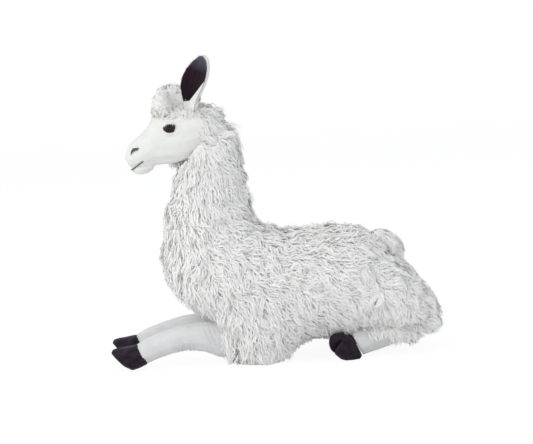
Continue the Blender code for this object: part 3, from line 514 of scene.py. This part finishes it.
def hidden_material(name, low, high, roughness):
    """Plain inner material: fibre filling or moulded plastic."""
    made = Material(name)
    cloud = made.noise(260.0, 5.0)
    made.colour(made.ramp(cloud, ((0.3, low), (0.7, high))))
    made.bump(cloud, 0.6, 0.0010)
    made.set(Roughness=roughness)
    return made.material


def smooth_copy(name, node, fineness):
    """Fine, softened copy of a CAD node, in its place."""
    voxel, passes = FINENESS[fineness]
    piece = link(bpy.data.objects.new(name, NODES[node].data.copy()))
    remesh = piece.modifiers.new("fine", "REMESH")
    remesh.mode = "VOXEL"
    remesh.voxel_size = voxel
    soften = piece.modifiers.new("soft", "SMOOTH")
    soften.factor = 0.5
    soften.iterations = passes
    bpy.context.view_layer.update()
    graph = bpy.context.evaluated_depsgraph_get()
    mesh = bpy.data.meshes.new_from_object(piece.evaluated_get(graph))
    piece.modifiers.clear()
    piece.data = mesh
    mesh.materials.clear()
    mesh.shade_smooth()
    return piece


def tree_of(mesh):
    """Search tree of a mesh's surface."""
    return BVHTree.FromPolygons([v.co for v in mesh.vertices], [tuple(p.vertices) for p in mesh.polygons])


def surface_tree(node):
    """Search tree of a CAD node's surface."""
    return tree_of(NODES[node].data)


def vertex_arrays(mesh):
    """Places and normals of a mesh's vertices, a row each."""
    places = np.empty(len(mesh.vertices) * 3, np.float32)
    normals = np.empty(len(mesh.vertices) * 3, np.float32)
    mesh.vertices.foreach_get("co", places)
    mesh.vertices.foreach_get("normal", normals)
    return places.reshape(-1, 3), normals.reshape(-1, 3)


def triangles_of(piece):
    """Corner places (n, 3, 3) of a piece's triangles, and their vertex normals."""
    mesh = piece.data
    mesh.calc_loop_triangles()
    corners = np.empty(len(mesh.loop_triangles) * 3, np.int32)
    mesh.loop_triangles.foreach_get("vertices", corners)
    corners = corners.reshape(-1, 3)
    places, normals = vertex_arrays(mesh)
    return places[corners].astype(float), normals[corners].astype(float)


def unit(vectors):
    """Rows scaled to length one."""
    return vectors / np.maximum(np.linalg.norm(vectors, axis=-1, keepdims=True), 1e-12)


def varied(sizes, count, chance, least=0.7, spread=0.6):
    """Sizes that vary at random from lock to lock."""
    return sizes * (least + spread * chance.random(count))


def scatter(piece, spacing, chance):
    """Random places on a piece's surface, about a spacing apart, with their normals."""
    places, normals = triangles_of(piece)
    first_edge = places[:, 1] - places[:, 0]
    second_edge = places[:, 2] - places[:, 0]
    areas = 0.5 * np.linalg.norm(np.cross(first_edge, second_edge), axis=1)
    count = int(areas.sum() / (spacing * spacing))
    steps = (np.arange(count) + chance.random(count)) / count
    chosen = np.searchsorted(np.cumsum(areas) / areas.sum(), steps).clip(0, len(areas) - 1)
    first = np.sqrt(chance.random(count))[:, None]
    second = chance.random(count)[:, None]
    weights = (1 - first, first * (1 - second), first * second)
    roots = sum(weight * places[chosen, corner] for corner, weight in enumerate(weights))
    outward = sum(weight * normals[chosen, corner] for corner, weight in enumerate(weights))
    return roots, unit(outward)


def comb(places):
    """Way the long pile lies at each place, blended from the combing marks."""
    total = np.zeros_like(places)
    for (x, z), (back, down) in COMBING:
        way = np.array((back, 0.0, down))
        distance = (places[:, 0] - x) ** 2 + (places[:, 2] - z) ** 2 + COMB_REACH ** 2
        total += way / np.linalg.norm(way) / distance[:, None] ** 1.5
    return unit(total)


def laid(normals, flows):
    """Flows laid into the surface."""
    return unit(flows - (flows * normals).sum(1, keepdims=True) * normals)


def swirled(places, normals, flows, size, amount, offset):
    """Flows turned about their normals by smooth noise, in the surface."""
    turns = np.array([noise.noise(Vector(p) / size + Vector((offset, 0, 0))) for p in places]) * amount
    across = np.cross(normals, flows)
    return laid(normals, unit(flows * np.cos(turns)[:, None] + across * np.sin(turns)[:, None]))


def lock_lines(roots, normals, flows, lengths, shape, chance, segments):
    """Middle line of each lock from root to tip in segments; shape is its lift, droop and waves."""
    lift, droop, waves = shape
    count = len(roots)
    steps = np.linspace(0.0, 1.0, segments + 1)[None, :, None]
    across = np.cross(normals, flows)[:, None, :]
    outward = normals[:, None, :]
    span = lengths[:, None, None]
    rise = (lift * (0.45 + 1.1 * chance.random(count)))[:, None, None]
    phase = chance.random(count)[:, None, None] * math.tau
    turns = (0.9 + 0.7 * chance.random(count))[:, None, None] * math.tau
    size = (waves * (0.5 + chance.random(count)))[:, None, None]
    wave = np.sin(phase + turns * steps) - np.sin(phase)
    other = np.cos(phase + turns * steps) - np.cos(phase)
    line = roots[:, None, :] - ROOT_DEPTH * outward
    bow = 1.6 * steps - 1.1 * steps ** 2
    line = line + span * (flows[:, None, :] * steps * 0.92 + outward * rise * bow)
    line = line + span * size * steps ** 0.6 * (across * wave + outward * other * 0.5)
    return line + span * droop * steps ** 2 * np.array((0.0, 0.0, -1.0))


def clumped(lines, roots, clumps, chance):
    """Draw neighbouring locks together towards the middle lock of their tuft."""
    pull, share = clumps
    count = len(roots)
    many = max(1, int(count * share))
    leaders = chance.choice(count, many, replace=False)
    tree = KDTree(many)
    for place, leader in enumerate(leaders):
        tree.insert(Vector(roots[leader]), place)
    tree.balance()
    nearest = np.array([tree.find(Vector(root))[1] for root in roots])
    lead = lines[leaders[nearest]]
    steps = np.linspace(0.0, 1.0, lines.shape[1])[None, :, None]
    return lines + (lead - lines) * pull * steps ** 1.4


def lock_faces(segments):
    """Triangles of one lock: a ribbon that ends in a point."""
    faces = []
    for segment in range(segments - 1):
        left = 2 * segment
        right = left + 1
        faces.append((left, right, right + 2))
        faces.append((left, right + 2, left + 2))
    faces.append((2 * segments - 2, 2 * segments - 1, 2 * segments))
    return np.array(faces)


def lock_points(lines, normals, widths, chance):
    """Corners of tapered, slightly twisted ribbons along their middle lines, with soft normals."""
    count = len(lines)
    segments = lines.shape[1] - 1
    tangents = unit(np.gradient(lines, axis=1))
    side = unit(np.cross(tangents, normals[:, None, :]) + 1e-9)
    up = np.cross(side, tangents)
    share = np.linspace(0.0, 1.0, segments + 1)
    taper = np.where(share < 0.30, 0.75 + share, 1.07 * ((1.0 - share) / 0.70) ** 0.8)
    tip_twist = (chance.random(count)[:, None] - 0.5) * TIP_TWIST * share[None, :]
    root_twist = (chance.random(count)[:, None] - 0.5) * ROOT_TWIST
    twist = tip_twist + root_twist
    points = np.empty((count, 2 * segments + 1, 3))
    shading = np.empty_like(points)
    for step in range(segments):
        half = (widths * taper[step] * 0.5)[:, None]
        cosine = np.cos(twist[:, step])[:, None]
        sine = np.sin(twist[:, step])[:, None]
        wide = side[:, step] * cosine + up[:, step] * sine
        flat = up[:, step] * cosine - side[:, step] * sine
        for corner, way in enumerate((-1.0, 1.0)):
            points[:, 2 * step + corner] = lines[:, step] + way * half * wide
            shading[:, 2 * step + corner] = flat + 0.6 * way * wide
    points[:, -1] = lines[:, -1]
    shading[:, -1] = normals
    lowest = LOCK_LOW + LOCK_LOW_SPREAD * chance.random((count, 1))
    points[..., 2] = np.maximum(points[..., 2], lowest)
    return points, unit(unit(shading) * (1.0 - SOFT_SHARE) + normals[:, None, :] * SOFT_SHARE)


def lock_uv(count, segments, chance):
    """Texture places of the ribbons' corners: a narrow column for each lock, root to tip."""
    share = np.linspace(0.0, 1.0, segments + 1)
    own = 0.02 + 0.94 * chance.random(count)
    u = own[:, None] + 0.015 * np.append(np.tile((0.0, 1.0), segments), 0.5)[None, :]
    v = 0.01 + 0.98 * np.append(np.repeat(share[:segments], 2), 1.0)[None, :] + np.zeros((count, 1))
    return np.stack((u, v), axis=-1).reshape(-1, 2)


def lock_mesh(name, lines, normals, widths, chance, material):
    """One mesh of ribbons along their middle lines, shaded softly as one fur."""
    points, shading = lock_points(lines, normals, widths, chance)
    segments = lines.shape[1] - 1
    firsts = (np.arange(len(lines)) * points.shape[1])[:, None, None]
    faces = (lock_faces(segments)[None, :, :] + firsts).reshape(-1, 3)
    corners = faces.reshape(-1)
    uv = lock_uv(len(lines), segments, chance)
    mesh = bpy.data.meshes.new(name)
    mesh.vertices.add(points.shape[0] * points.shape[1])
    mesh.vertices.foreach_set("co", points.reshape(-1).astype(np.float32))
    mesh.loops.add(len(corners))
    mesh.loops.foreach_set("vertex_index", corners.astype(np.int32))
    mesh.polygons.add(len(faces))
    mesh.polygons.foreach_set("loop_start", np.arange(0, len(corners), 3, dtype=np.int32))
    layer = mesh.uv_layers.new(name="OFBake")
    layer.uv.foreach_set("vector", uv[corners].reshape(-1).astype(np.float32))
    mesh.update(calc_edges=True)
    mesh.materials.append(material)
    mesh.shade_smooth()
    mesh.normals_split_custom_set_from_vertices(shading.reshape(-1, 3).tolist())
    dressed(link(bpy.data.objects.new(name, mesh)), "long_pile")


def far_from(tree, places, distance):
    """Which places lie further than a distance from a surface."""
    return np.array([tree.find_nearest(Vector(place), distance)[0] is None for place in places], bool)


def outside(piece, places, depth):
    """Which places lie outside a closed piece, or no deeper in it than a depth."""
    tree = tree_of(piece.data)
    signs = []
    for place in places:
        near, normal = tree.find_nearest(Vector(place))[:2]
        signs.append((Vector(place) - near).dot(normal) > -depth)
    return np.array(signs, bool)


def blend_by(value, low, high):
    """Smooth step from 0 at low to 1 at high."""
    share = np.clip((value - low) / (high - low), 0.0, 1.0)
    return share * share * (3 - 2 * share)


def behind(edge, places, chance):
    """Which places lie behind a ragged edge given as (height, place along the toy)."""
    heights = [height for height, along in edge]
    limits = np.interp(places[:, 2], heights, [along for height, along in edge])
    return places[:, 0] > limits + EDGE_RAGGED * (chance.random(len(places)) - 0.5)


def bridged(tree, places, normals):
    """Normals turned away from the neck's axis near a surface, so that the pile bridges the seam there."""
    away = unit(np.stack((places[:, 0] - NECK_AXIS, places[:, 1], 0.0 * places[:, 2]), axis=1))
    turned = normals.copy()
    for row, place in enumerate(places):
        distance = tree.find_nearest(Vector(place), BRIDGE_REACH)[3]
        if distance is not None:
            turned[row] += (away[row] - turned[row]) * BRIDGE_SHARE * (1.0 - distance / BRIDGE_REACH)
    return unit(turned)


def joined(found):
    """Roots and normals of all the places found."""
    return np.concatenate([pair[0] for pair in found]), np.concatenate([pair[1] for pair in found])


def pile_roots(coat, chance):
    """Roots of the long pile: all over the cover, and over its sewn edges on the head and legs."""
    head = surface_tree("head_skin")
    roots, normals = scatter(coat, PILE_SPACING, chance)
    collar = (roots[:, 2] > COLLAR_LOW) & ~far_from(head, roots, COLLAR_REACH)
    keep = collar | far_from(surface_tree("body_stuffing"), roots, STUFFING_GAP)
    keep &= roots[:, 2] > FLOOR_GAP
    for name in NODES:
        if name.startswith(("foreleg_skin", "hind_shank_skin")):
            keep &= far_from(surface_tree(name), roots, LEG_GAP)
    found = [(roots[keep], bridged(head, roots[keep], normals[keep]))]
    edges = {"face": FACE_EDGE}
    for label in SIDES:
        edges["foreleg_fabric_" + label] = FORELEG_EDGE
        edges["hind_shank_fabric_" + label] = SHANK_EDGE
    for name, edge in edges.items():
        roots, normals = scatter(bpy.data.objects[name], PILE_SPACING, chance)
        keep = behind(edge, roots, chance) & (roots[:, 2] > FLOOR_GAP)
        for label in SIDES:
            keep &= far_from(surface_tree("ear_shell_" + label), roots, EAR_GAP)
        keep &= outside(coat, roots, FACE_COAT_DEPTH if name == "face" else COAT_DEPTH)
        roots, normals = roots[keep], normals[keep]
        if name == "face":
            normals = bridged(surface_tree("fleece_cover"), roots, normals)
        found.append((roots, normals))
    return joined(found)


def build_fleece(pile, backing):
    """Undercoat of the long-pile cover, and the locks that stand on it."""
    coat = smooth_copy("undercoat", "fleece_cover", "undercoat")
    covered(coat, backing, "long_pile", "fleece_cover")
    chance = np.random.default_rng(FLEECE_SEED)
    roots, normals = pile_roots(coat, chance)
    count = len(roots)
    flows = swirled(roots, normals, laid(normals, comb(roots)), *PILE_SWIRL)
    throat = blend_by(roots[:, 2], *THROAT_HEIGHTS)
    nape = blend_by(roots[:, 2], *NAPE_HEIGHTS) * blend_by(roots[:, 0], *NAPE_PLACES)
    low = 1.0 - blend_by(roots[:, 2], *LOW_HEIGHTS)
    belly = blend_by(roots[:, 0], *BELLY_FRONT) * (1.0 - blend_by(roots[:, 0], *BELLY_REAR)) * low
    haunch = blend_by(roots[:, 0], *HAUNCH_PLACES) * blend_by(roots[:, 2], *HAUNCH_HEIGHTS)
    lengths = PILE_LENGTH - THROAT_CUT * throat + NAPE_GAIN * nape
    lengths = lengths - LOW_CUT * low - BELLY_CUT * belly - HAUNCH_CUT * haunch
    lengths = varied(lengths, count, chance, 0.65)
    lines = lock_lines(roots, normals, flows, lengths, PILE_SHAPE, chance, PILE_STEPS)
    lines = clumped(lines, roots, PILE_CLUMPS, chance)
    proud = np.maximum(np.abs(lines[..., 1]) - SIDE_LIMIT, 0.0)
    lines[..., 1] -= SIDE_PRESS * np.sign(lines[..., 1]) * proud
    widths = varied(PILE_WIDTH - THROAT_WIDTH_CUT * throat, count, chance)
    order = np.argsort(roots[:, 0])
    parts = math.ceil(count * len(lock_faces(PILE_STEPS)) / MOST_TRIANGLES)
    for place, chosen in enumerate(np.array_split(order, parts), 1):
        lock_mesh(f"fleece_locks_{place}", lines[chosen], normals[chosen], widths[chosen], chance, pile)


def build_tail(pile, backing):
    """Tail tuft with its hanging locks."""
    base = smooth_copy("tail_base", "tail", "tail")
    covered(base, backing, "long_pile", "tail")
    chance = np.random.default_rng(TAIL_SEED)
    roots, normals = scatter(base, TAIL_SPACING, chance)
    keep = far_from(surface_tree("body_stuffing"), roots, TAIL_GAP)
    roots, normals = roots[keep], normals[keep]
    flows = swirled(roots, normals, laid(normals, np.array(TAIL_WAY)), *TAIL_SWIRL)
    lengths = varied(TAIL_LENGTH, len(roots), chance)
    lines = lock_lines(roots, normals, flows, lengths, TAIL_SHAPE, chance, PILE_STEPS)
    lines = clumped(lines, roots, TAIL_CLUMPS, chance)
    lock_mesh("tail_locks", lines, normals, varied(TAIL_WIDTH, len(roots), chance), chance, pile)


def build_crown(pile, backing):
    """Fine short fluff of the topknot, which runs on over the head and hides the feet of the ears."""
    base = smooth_copy("crown_base", "topknot", "crown")
    covered(base, backing, "long_pile", "topknot")
    chance = np.random.default_rng(CROWN_SEED)
    roots, normals = scatter(base, CROWN_SPACING, chance)
    keep = far_from(surface_tree("head_skin"), roots, CROWN_HEAD_GAP)
    for label in SIDES:
        keep &= far_from(surface_tree("ear_lining_" + label), roots, CROWN_LINING_GAP)
    found = [(roots[keep], normals[keep])]
    on_topknot = len(found[0][0])
    for name, low, high in HEAD_FLUFF:
        roots, normals = scatter(bpy.data.objects[name], HEAD_FLUFF_SPACING, chance)
        ragged = HEAD_FLUFF_RAGGED * (chance.random(len(roots)) - 0.5)
        keep = (roots[:, 2] > low + ragged) & (roots[:, 2] < high + ragged)
        keep &= (roots[:, 0] > HEAD_FLUFF_FRONT) & (roots[:, 0] < HEAD_FLUFF_REAR)
        keep &= outside(base, roots, HEAD_FLUFF_DEPTH)
        found.append((roots[keep], normals[keep]))
    roots, normals = joined(found)
    normals = unit(normals + CROWN_ROUND * unit(roots - np.array(HEAD_CENTRE)))
    upper = blend_by(roots[:, 2], *CROWN_UPPER_HEIGHTS)[:, None]
    upper[on_topknot:] = 1.0
    flows = laid(normals, np.array(CROWN_WAY_UP) * upper + np.array(CROWN_WAY_DOWN) * (1.0 - upper))
    flows = swirled(roots, normals, flows, 0.008, 1.2 + 1.6 * upper[:, 0], 9.0)
    lengths = HEAD_FLUFF_LENGTH + HEAD_FLUFF_GAIN * blend_by(roots[:, 2], *HEAD_FLUFF_HEIGHTS)
    lengths[:on_topknot] = TOPKNOT_LENGTH
    lengths = varied(lengths, len(roots), chance)
    shape = (0.30 + 0.35 * upper[:, 0], CROWN_DROOP, CROWN_WAVES)
    lines = lock_lines(roots, normals, flows, lengths, shape, chance, FLUFF_STEPS)
    lines = clumped(lines, roots, CROWN_CLUMPS, chance)
    lock_mesh("crown_locks", lines, normals, varied(CROWN_WIDTH, len(roots), chance), chance, pile)


def raise_along(piece, curve, height, reach):
    """Raise a soft fold, or sink a seam, along a curve of (x, z) places on a piece's two sides."""
    ends = np.array(curve)
    places, normals = vertex_arrays(piece.data)
    flat = places[:, (0, 2)]
    nearest = np.full(len(flat), 1e9)
    along = np.zeros(len(flat))
    for step, (start, end) in enumerate(zip(ends, ends[1:])):
        share = np.clip(((flat - start) @ (end - start)) / ((end - start) @ (end - start)), 0.0, 1.0)
        distance = np.linalg.norm(flat - start - share[:, None] * (end - start), axis=1)
        along = np.where(distance < nearest, (step + share) / (len(ends) - 1), along)
        nearest = np.minimum(nearest, distance)
    fade = np.sin(math.pi * np.clip(along, 0.04, 0.96)) ** 0.5
    size = height * fade * np.exp(-(nearest / reach) ** 2)
    places += normals * size[:, None].astype(np.float32)
    piece.data.vertices.foreach_set("co", places.reshape(-1))
    piece.data.update()


def ripple(piece, centre, reach, length, height, offset):
    """Press fine creases across a leg round a place (x, z)."""
    for vertex in piece.data.vertices:
        x = vertex.co.x - centre[0]
        z = vertex.co.z - centre[1]
        fade = math.exp(-(x / reach[0]) ** 2 - (z / reach[1]) ** 2)
        if fade > LEAST_CREASE:
            turn = 2.0 * noise.noise(Vector((vertex.co.x * 90, vertex.co.z * 90, offset)))
            wave = math.sin(math.tau * (x + 0.35 * z) / length + turn)
            vertex.co += vertex.normal * height * fade * wave
    piece.data.update()


def build_skins(cream, grey):
    """Smooth short-pile skins of face and legs, with the folds and seams that the photograph shows."""
    head = smooth_copy("face", "head_skin", "face")
    for curve, height, reach in FACE_FOLDS:
        raise_along(head, curve, height, reach)
    covered(head, cream, "short_pile", "head_skin")
    for place, label in enumerate(SIDES):
        for node in ("foreleg_skin_", "hind_shank_skin_"):
            leg = smooth_copy(node.replace("_skin", "_fabric") + label, node + label, "leg")
            if node == "foreleg_skin_":
                for centre, reach, length, height, offset in LEG_CREASES:
                    ripple(leg, centre, reach, length, height, offset + place)
            covered(leg, grey, "short_pile", node + label)


class EyeView:
    """Eye seen along its own axis: its pole, and the ways along the face and upright there."""

    def __init__(self, label):
        self.pole = max((v.co for v in NODES["eye_" + label].data.vertices), key=lambda place: abs(place.y))
        low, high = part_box("eye_washer_" + label)
        self.axis = (self.pole - (Vector(low) + Vector(high)) / 2).normalized()
        self.upright = (Vector((0, 0, 1)) - self.axis * self.axis.z).normalized()
        self.along = self.upright.cross(self.axis)

    def place(self, offset):
        """Place at an offset from the pole, across the axis."""
        return self.pole + self.along * offset[0] + self.upright * offset[1]

    def top(self, offset, trees):
        """Highest surface under an offset, measured along the axis."""
        start = self.place(offset) + self.axis * 0.010
        hits = [tree.ray_cast(start, -self.axis, 0.040)[0] for tree in trees]
        levels = [hit.dot(self.axis) for hit in hits if hit is not None]
        return max(levels, default=self.pole.dot(self.axis) - 0.008)


def lid_points(view, side, eye, face):
    """Corners of a lid, ring by ring from the rim of the opening out to the face."""
    wide = LID_HALF_WIDTH + LID_REACH
    points = []
    for ring in LID_RINGS:
        for step in range(LID_STEPS):
            angle = math.tau * step / LID_STEPS
            cosine = math.cos(angle)
            sine = math.sin(angle)
            rise = LID_RISE if sine > 0 else LID_DROP
            inner = (LID_HALF_WIDTH * cosine - side * LID_CENTRE[0], rise * sine + LID_CENTRE[1])
            outer = (wide * cosine, LID_FLATNESS * wide * sine)
            offset = (inner[0] + (outer[0] - inner[0]) * ring, inner[1] + (outer[1] - inner[1]) * ring)
            edge = view.top(inner, (eye, face)) + LID_GAP
            rim = view.top(outer, (face,)) - LID_SINK
            level = edge + (rim - edge) * ring + LID_ROLL * math.sin(math.pi * min(1.0, ring * 2.2))
            if 0.0 < ring < 1.0:
                level = max(level, view.top(offset, (eye, face)) + LID_GAP)
            if ring == 0.0:
                level -= LID_TUCK
            flat = view.place(offset)
            points.append(flat + view.axis * (level - flat.dot(view.axis)))
    return points


def build_lids(cream):
    """Sewn lids round each eye dome, which leave an almond opening."""
    face = tree_of(bpy.data.objects["face"].data)
    for label, side in SIDES.items():
        view = EyeView(label)
        points = lid_points(view, side, surface_tree("eye_" + label), face)
        faces = []
        for first in range(0, (len(LID_RINGS) - 1) * LID_STEPS, LID_STEPS):
            for step in range(LID_STEPS):
                after = (step + 1) % LID_STEPS
                outer = first + LID_STEPS
                faces.append((first + step, first + after, outer + after, outer + step))
        mesh = bpy.data.meshes.new("eyelid_" + label)
        mesh.from_pydata(points, [], faces)
        mesh.update()
        lid = link(bpy.data.objects.new("eyelid_" + label, mesh))
        if mesh.polygons[0].normal.dot(view.axis) < 0:
            mesh.flip_normals()
        mesh.materials.append(cream)
        mesh.shade_smooth()
        dressed(lid, "short_pile")


def build_lashes(pile):
    """White lashes that hang from the middle of each upper lid."""
    chance = np.random.default_rng(LASH_SEED)
    for label, side in SIDES.items():
        lid = bpy.data.objects["eyelid_" + label].data.vertices
        roots = []
        ways = []
        for lash in range(LASHES):
            step = round(LID_STEPS * (0.13 + 0.24 * lash / (LASHES - 1)))
            roots.append(np.array(lid[step + LID_STEPS].co) + np.array((0.0, LASH_STAND * side, 0.0)))
            ways.append(np.array((0.25 * (lash - LASHES / 2) / LASHES, 0.15 * side, -1.0)))
        roots = np.array(roots)
        flows = unit(np.array(ways))
        normals = laid(flows, np.array((0.0, float(side), 0.2)))
        lengths = varied(LASH_LENGTH, LASHES, chance, 0.8, 0.5)
        lines = lock_lines(roots, normals, flows, lengths, LASH_SHAPE, chance, FLUFF_STEPS)
        widths = varied(LASH_WIDTH, LASHES, chance, 0.8, 0.4)
        lock_mesh("lashes_" + label, lines, normals, widths, chance, pile)


def build_hooves(dark):
    """Soft cloven hooves."""
    for label in SIDES:
        for node in ("fore_hoof_", "hind_hoof_"):
            hoof = smooth_copy(node.replace("hoof", "foot") + label, node + label, "hoof")
            covered(hoof, dark, "dark_pile", node + label)


def build_ears(cream, dark):
    """Ear shells and linings."""
    for label in SIDES:
        shell = smooth_copy("ear_back_" + label, "ear_shell_" + label, "ear_back")
        covered(shell, cream, "short_pile", "ear_shell_" + label)
        lining = smooth_copy("ear_inside_" + label, "ear_lining_" + label, "ear_inside")
        covered(lining, dark, "dark_pile", "ear_lining_" + label)


def finish_small_nodes():
    """Materials of the nodes that keep their CAD shape."""
    thread = thread_material()
    chosen = (
        ("eye_washer", hidden_material("washer_plastic", (0.62, 0.62, 0.60), (0.72, 0.72, 0.70), 0.45)),
        ("eye", eye_material()),
        ("nostril", thread),
        ("mouth", thread),
        ("stuffing", hidden_material("fibre_filling", (0.82, 0.82, 0.80), (0.93, 0.93, 0.91), 1.0)),
    )
    for name, node in NODES.items():
        fitting = [material for word, material in chosen if word in name]
        if fitting:
            node.data.materials.clear()
            node.data.materials.append(fitting[0])


def seen_share(tree):
    """How much a ray counts as seen: from the camera, or through a mirror or glass."""
    rays = tree.nodes.new("ShaderNodeLightPath")
    seen = tree.nodes.new("ShaderNodeMath")
    seen.operation = "ADD"
    more = tree.nodes.new("ShaderNodeMath")
    more.operation = "ADD"
    more.use_clamp = True
    tree.links.new(rays.outputs["Is Camera Ray"], seen.inputs[0])
    tree.links.new(rays.outputs["Is Glossy Ray"], seen.inputs[1])
    tree.links.new(seen.outputs[0], more.inputs[0])
    tree.links.new(rays.outputs["Is Transmission Ray"], more.inputs[1])
    return more.outputs[0]


def mix_surface(tree, share, plain, seen, output):
    """Surface that turns from its plain shader into another for the rays that see it."""
    mix = tree.nodes.new("ShaderNodeMixShader")
    tree.links.new(share, mix.inputs["Fac"])
    tree.links.new(plain.outputs[0], mix.inputs[1])
    tree.links.new(seen.outputs[0], mix.inputs[2])
    tree.links.new(mix.outputs["Shader"], tree.nodes[output].inputs["Surface"])


def build_floor():
    """White floor that keeps a soft shadow."""
    bpy.ops.mesh.primitive_plane_add(size=FLOOR_SIZE, location=(0, 0, -FLOOR_DROP))
    floor = bpy.context.object
    floor.name = "floor"
    material = bpy.data.materials.new("floor")
    material.use_nodes = True
    tree = material.node_tree
    shader = tree.nodes["Principled BSDF"]
    shader.inputs["Base Color"].default_value = (0.92, 0.92, 0.92, 1.0)
    shader.inputs["Roughness"].default_value = 0.9
    glow = tree.nodes.new("ShaderNodeEmission")
    glow.inputs["Color"].default_value = (*WHITE, 1.0)
    glow.inputs["Strength"].default_value = FLOOR_GLOW
    share = tree.nodes.new("ShaderNodeMath")
    share.operation = "MULTIPLY"
    share.inputs[1].default_value = FLOOR_GLOW_SHARE
    tree.links.new(seen_share(tree), share.inputs[0])
    mix_surface(tree, share.outputs[0], shader, glow, "Material Output")
    floor.data.materials.append(material)


def build_surroundings():
    """Surroundings that are seen as plain white, and light the llama a little cooler."""
    world = bpy.data.worlds.new("surroundings")
    bpy.context.scene.world = world
    world.use_nodes = True
    tree = world.node_tree
    around = tree.nodes["Background"]
    around.inputs["Color"].default_value = (*AROUND_COLOUR, 1.0)
    around.inputs["Strength"].default_value = AROUND_STRENGTH
    seen = tree.nodes.new("ShaderNodeBackground")
    seen.inputs["Color"].default_value = (*WHITE, 1.0)
    seen.inputs["Strength"].default_value = 1.0
    mix_surface(tree, seen_share(tree), around, seen, "World Output")


def build_lamps():
    """Soft studio lamps."""
    for name, place, size, power, colour in LAMPS:
        light = bpy.data.lights.new(name, "AREA")
        light.size = size
        light.energy = power
        light.color = colour
        lamp = link(bpy.data.objects.new(name, light))
        lamp.location = place
        lamp.rotation_euler = (LAMP_AIM - Vector(place)).to_track_quat("-Z", "Y").to_euler()


def build_camera():
    """Camera of the photograph."""
    camera = link(bpy.data.objects.new("camera", bpy.data.cameras.new("camera")))
    camera.data.lens = CAMERA_LENS
    camera.data.sensor_width = SENSOR_WIDTH
    camera.data.clip_end = FAR_CLIP
    turn = (CAMERA_AIM - CAMERA_AT).to_track_quat("-Z", "Y").to_matrix().to_4x4()
    camera.matrix_world = Matrix.Translation(CAMERA_AT) @ turn @ Matrix.Rotation(-CAMERA_ROLL, 4, "Z")
    bpy.context.scene.camera = camera


build_camera()
build_floor()
build_surroundings()
build_lamps()
PILE = long_pile_material()
BACKING = undercoat_material()
CREAM = short_pile_material("short_pile", (0.81, 0.815, 0.775), (0.87, 0.875, 0.835))
GREY = short_pile_material("leg_pile", (0.69, 0.70, 0.695), (0.76, 0.765, 0.76))
build_skins(CREAM, GREY)
build_lids(CREAM)
build_lashes(PILE)
build_fleece(PILE, BACKING)
build_tail(PILE, BACKING)
build_hooves(hoof_material())
build_ears(CREAM, ear_material())
build_crown(PILE, BACKING)
finish_small_nodes()
bpy.context.scene.view_settings.view_transform = "Standard"
bpy.context.scene.cycles.max_bounces = 24
bpy.context.scene.cycles.diffuse_bounces = 16
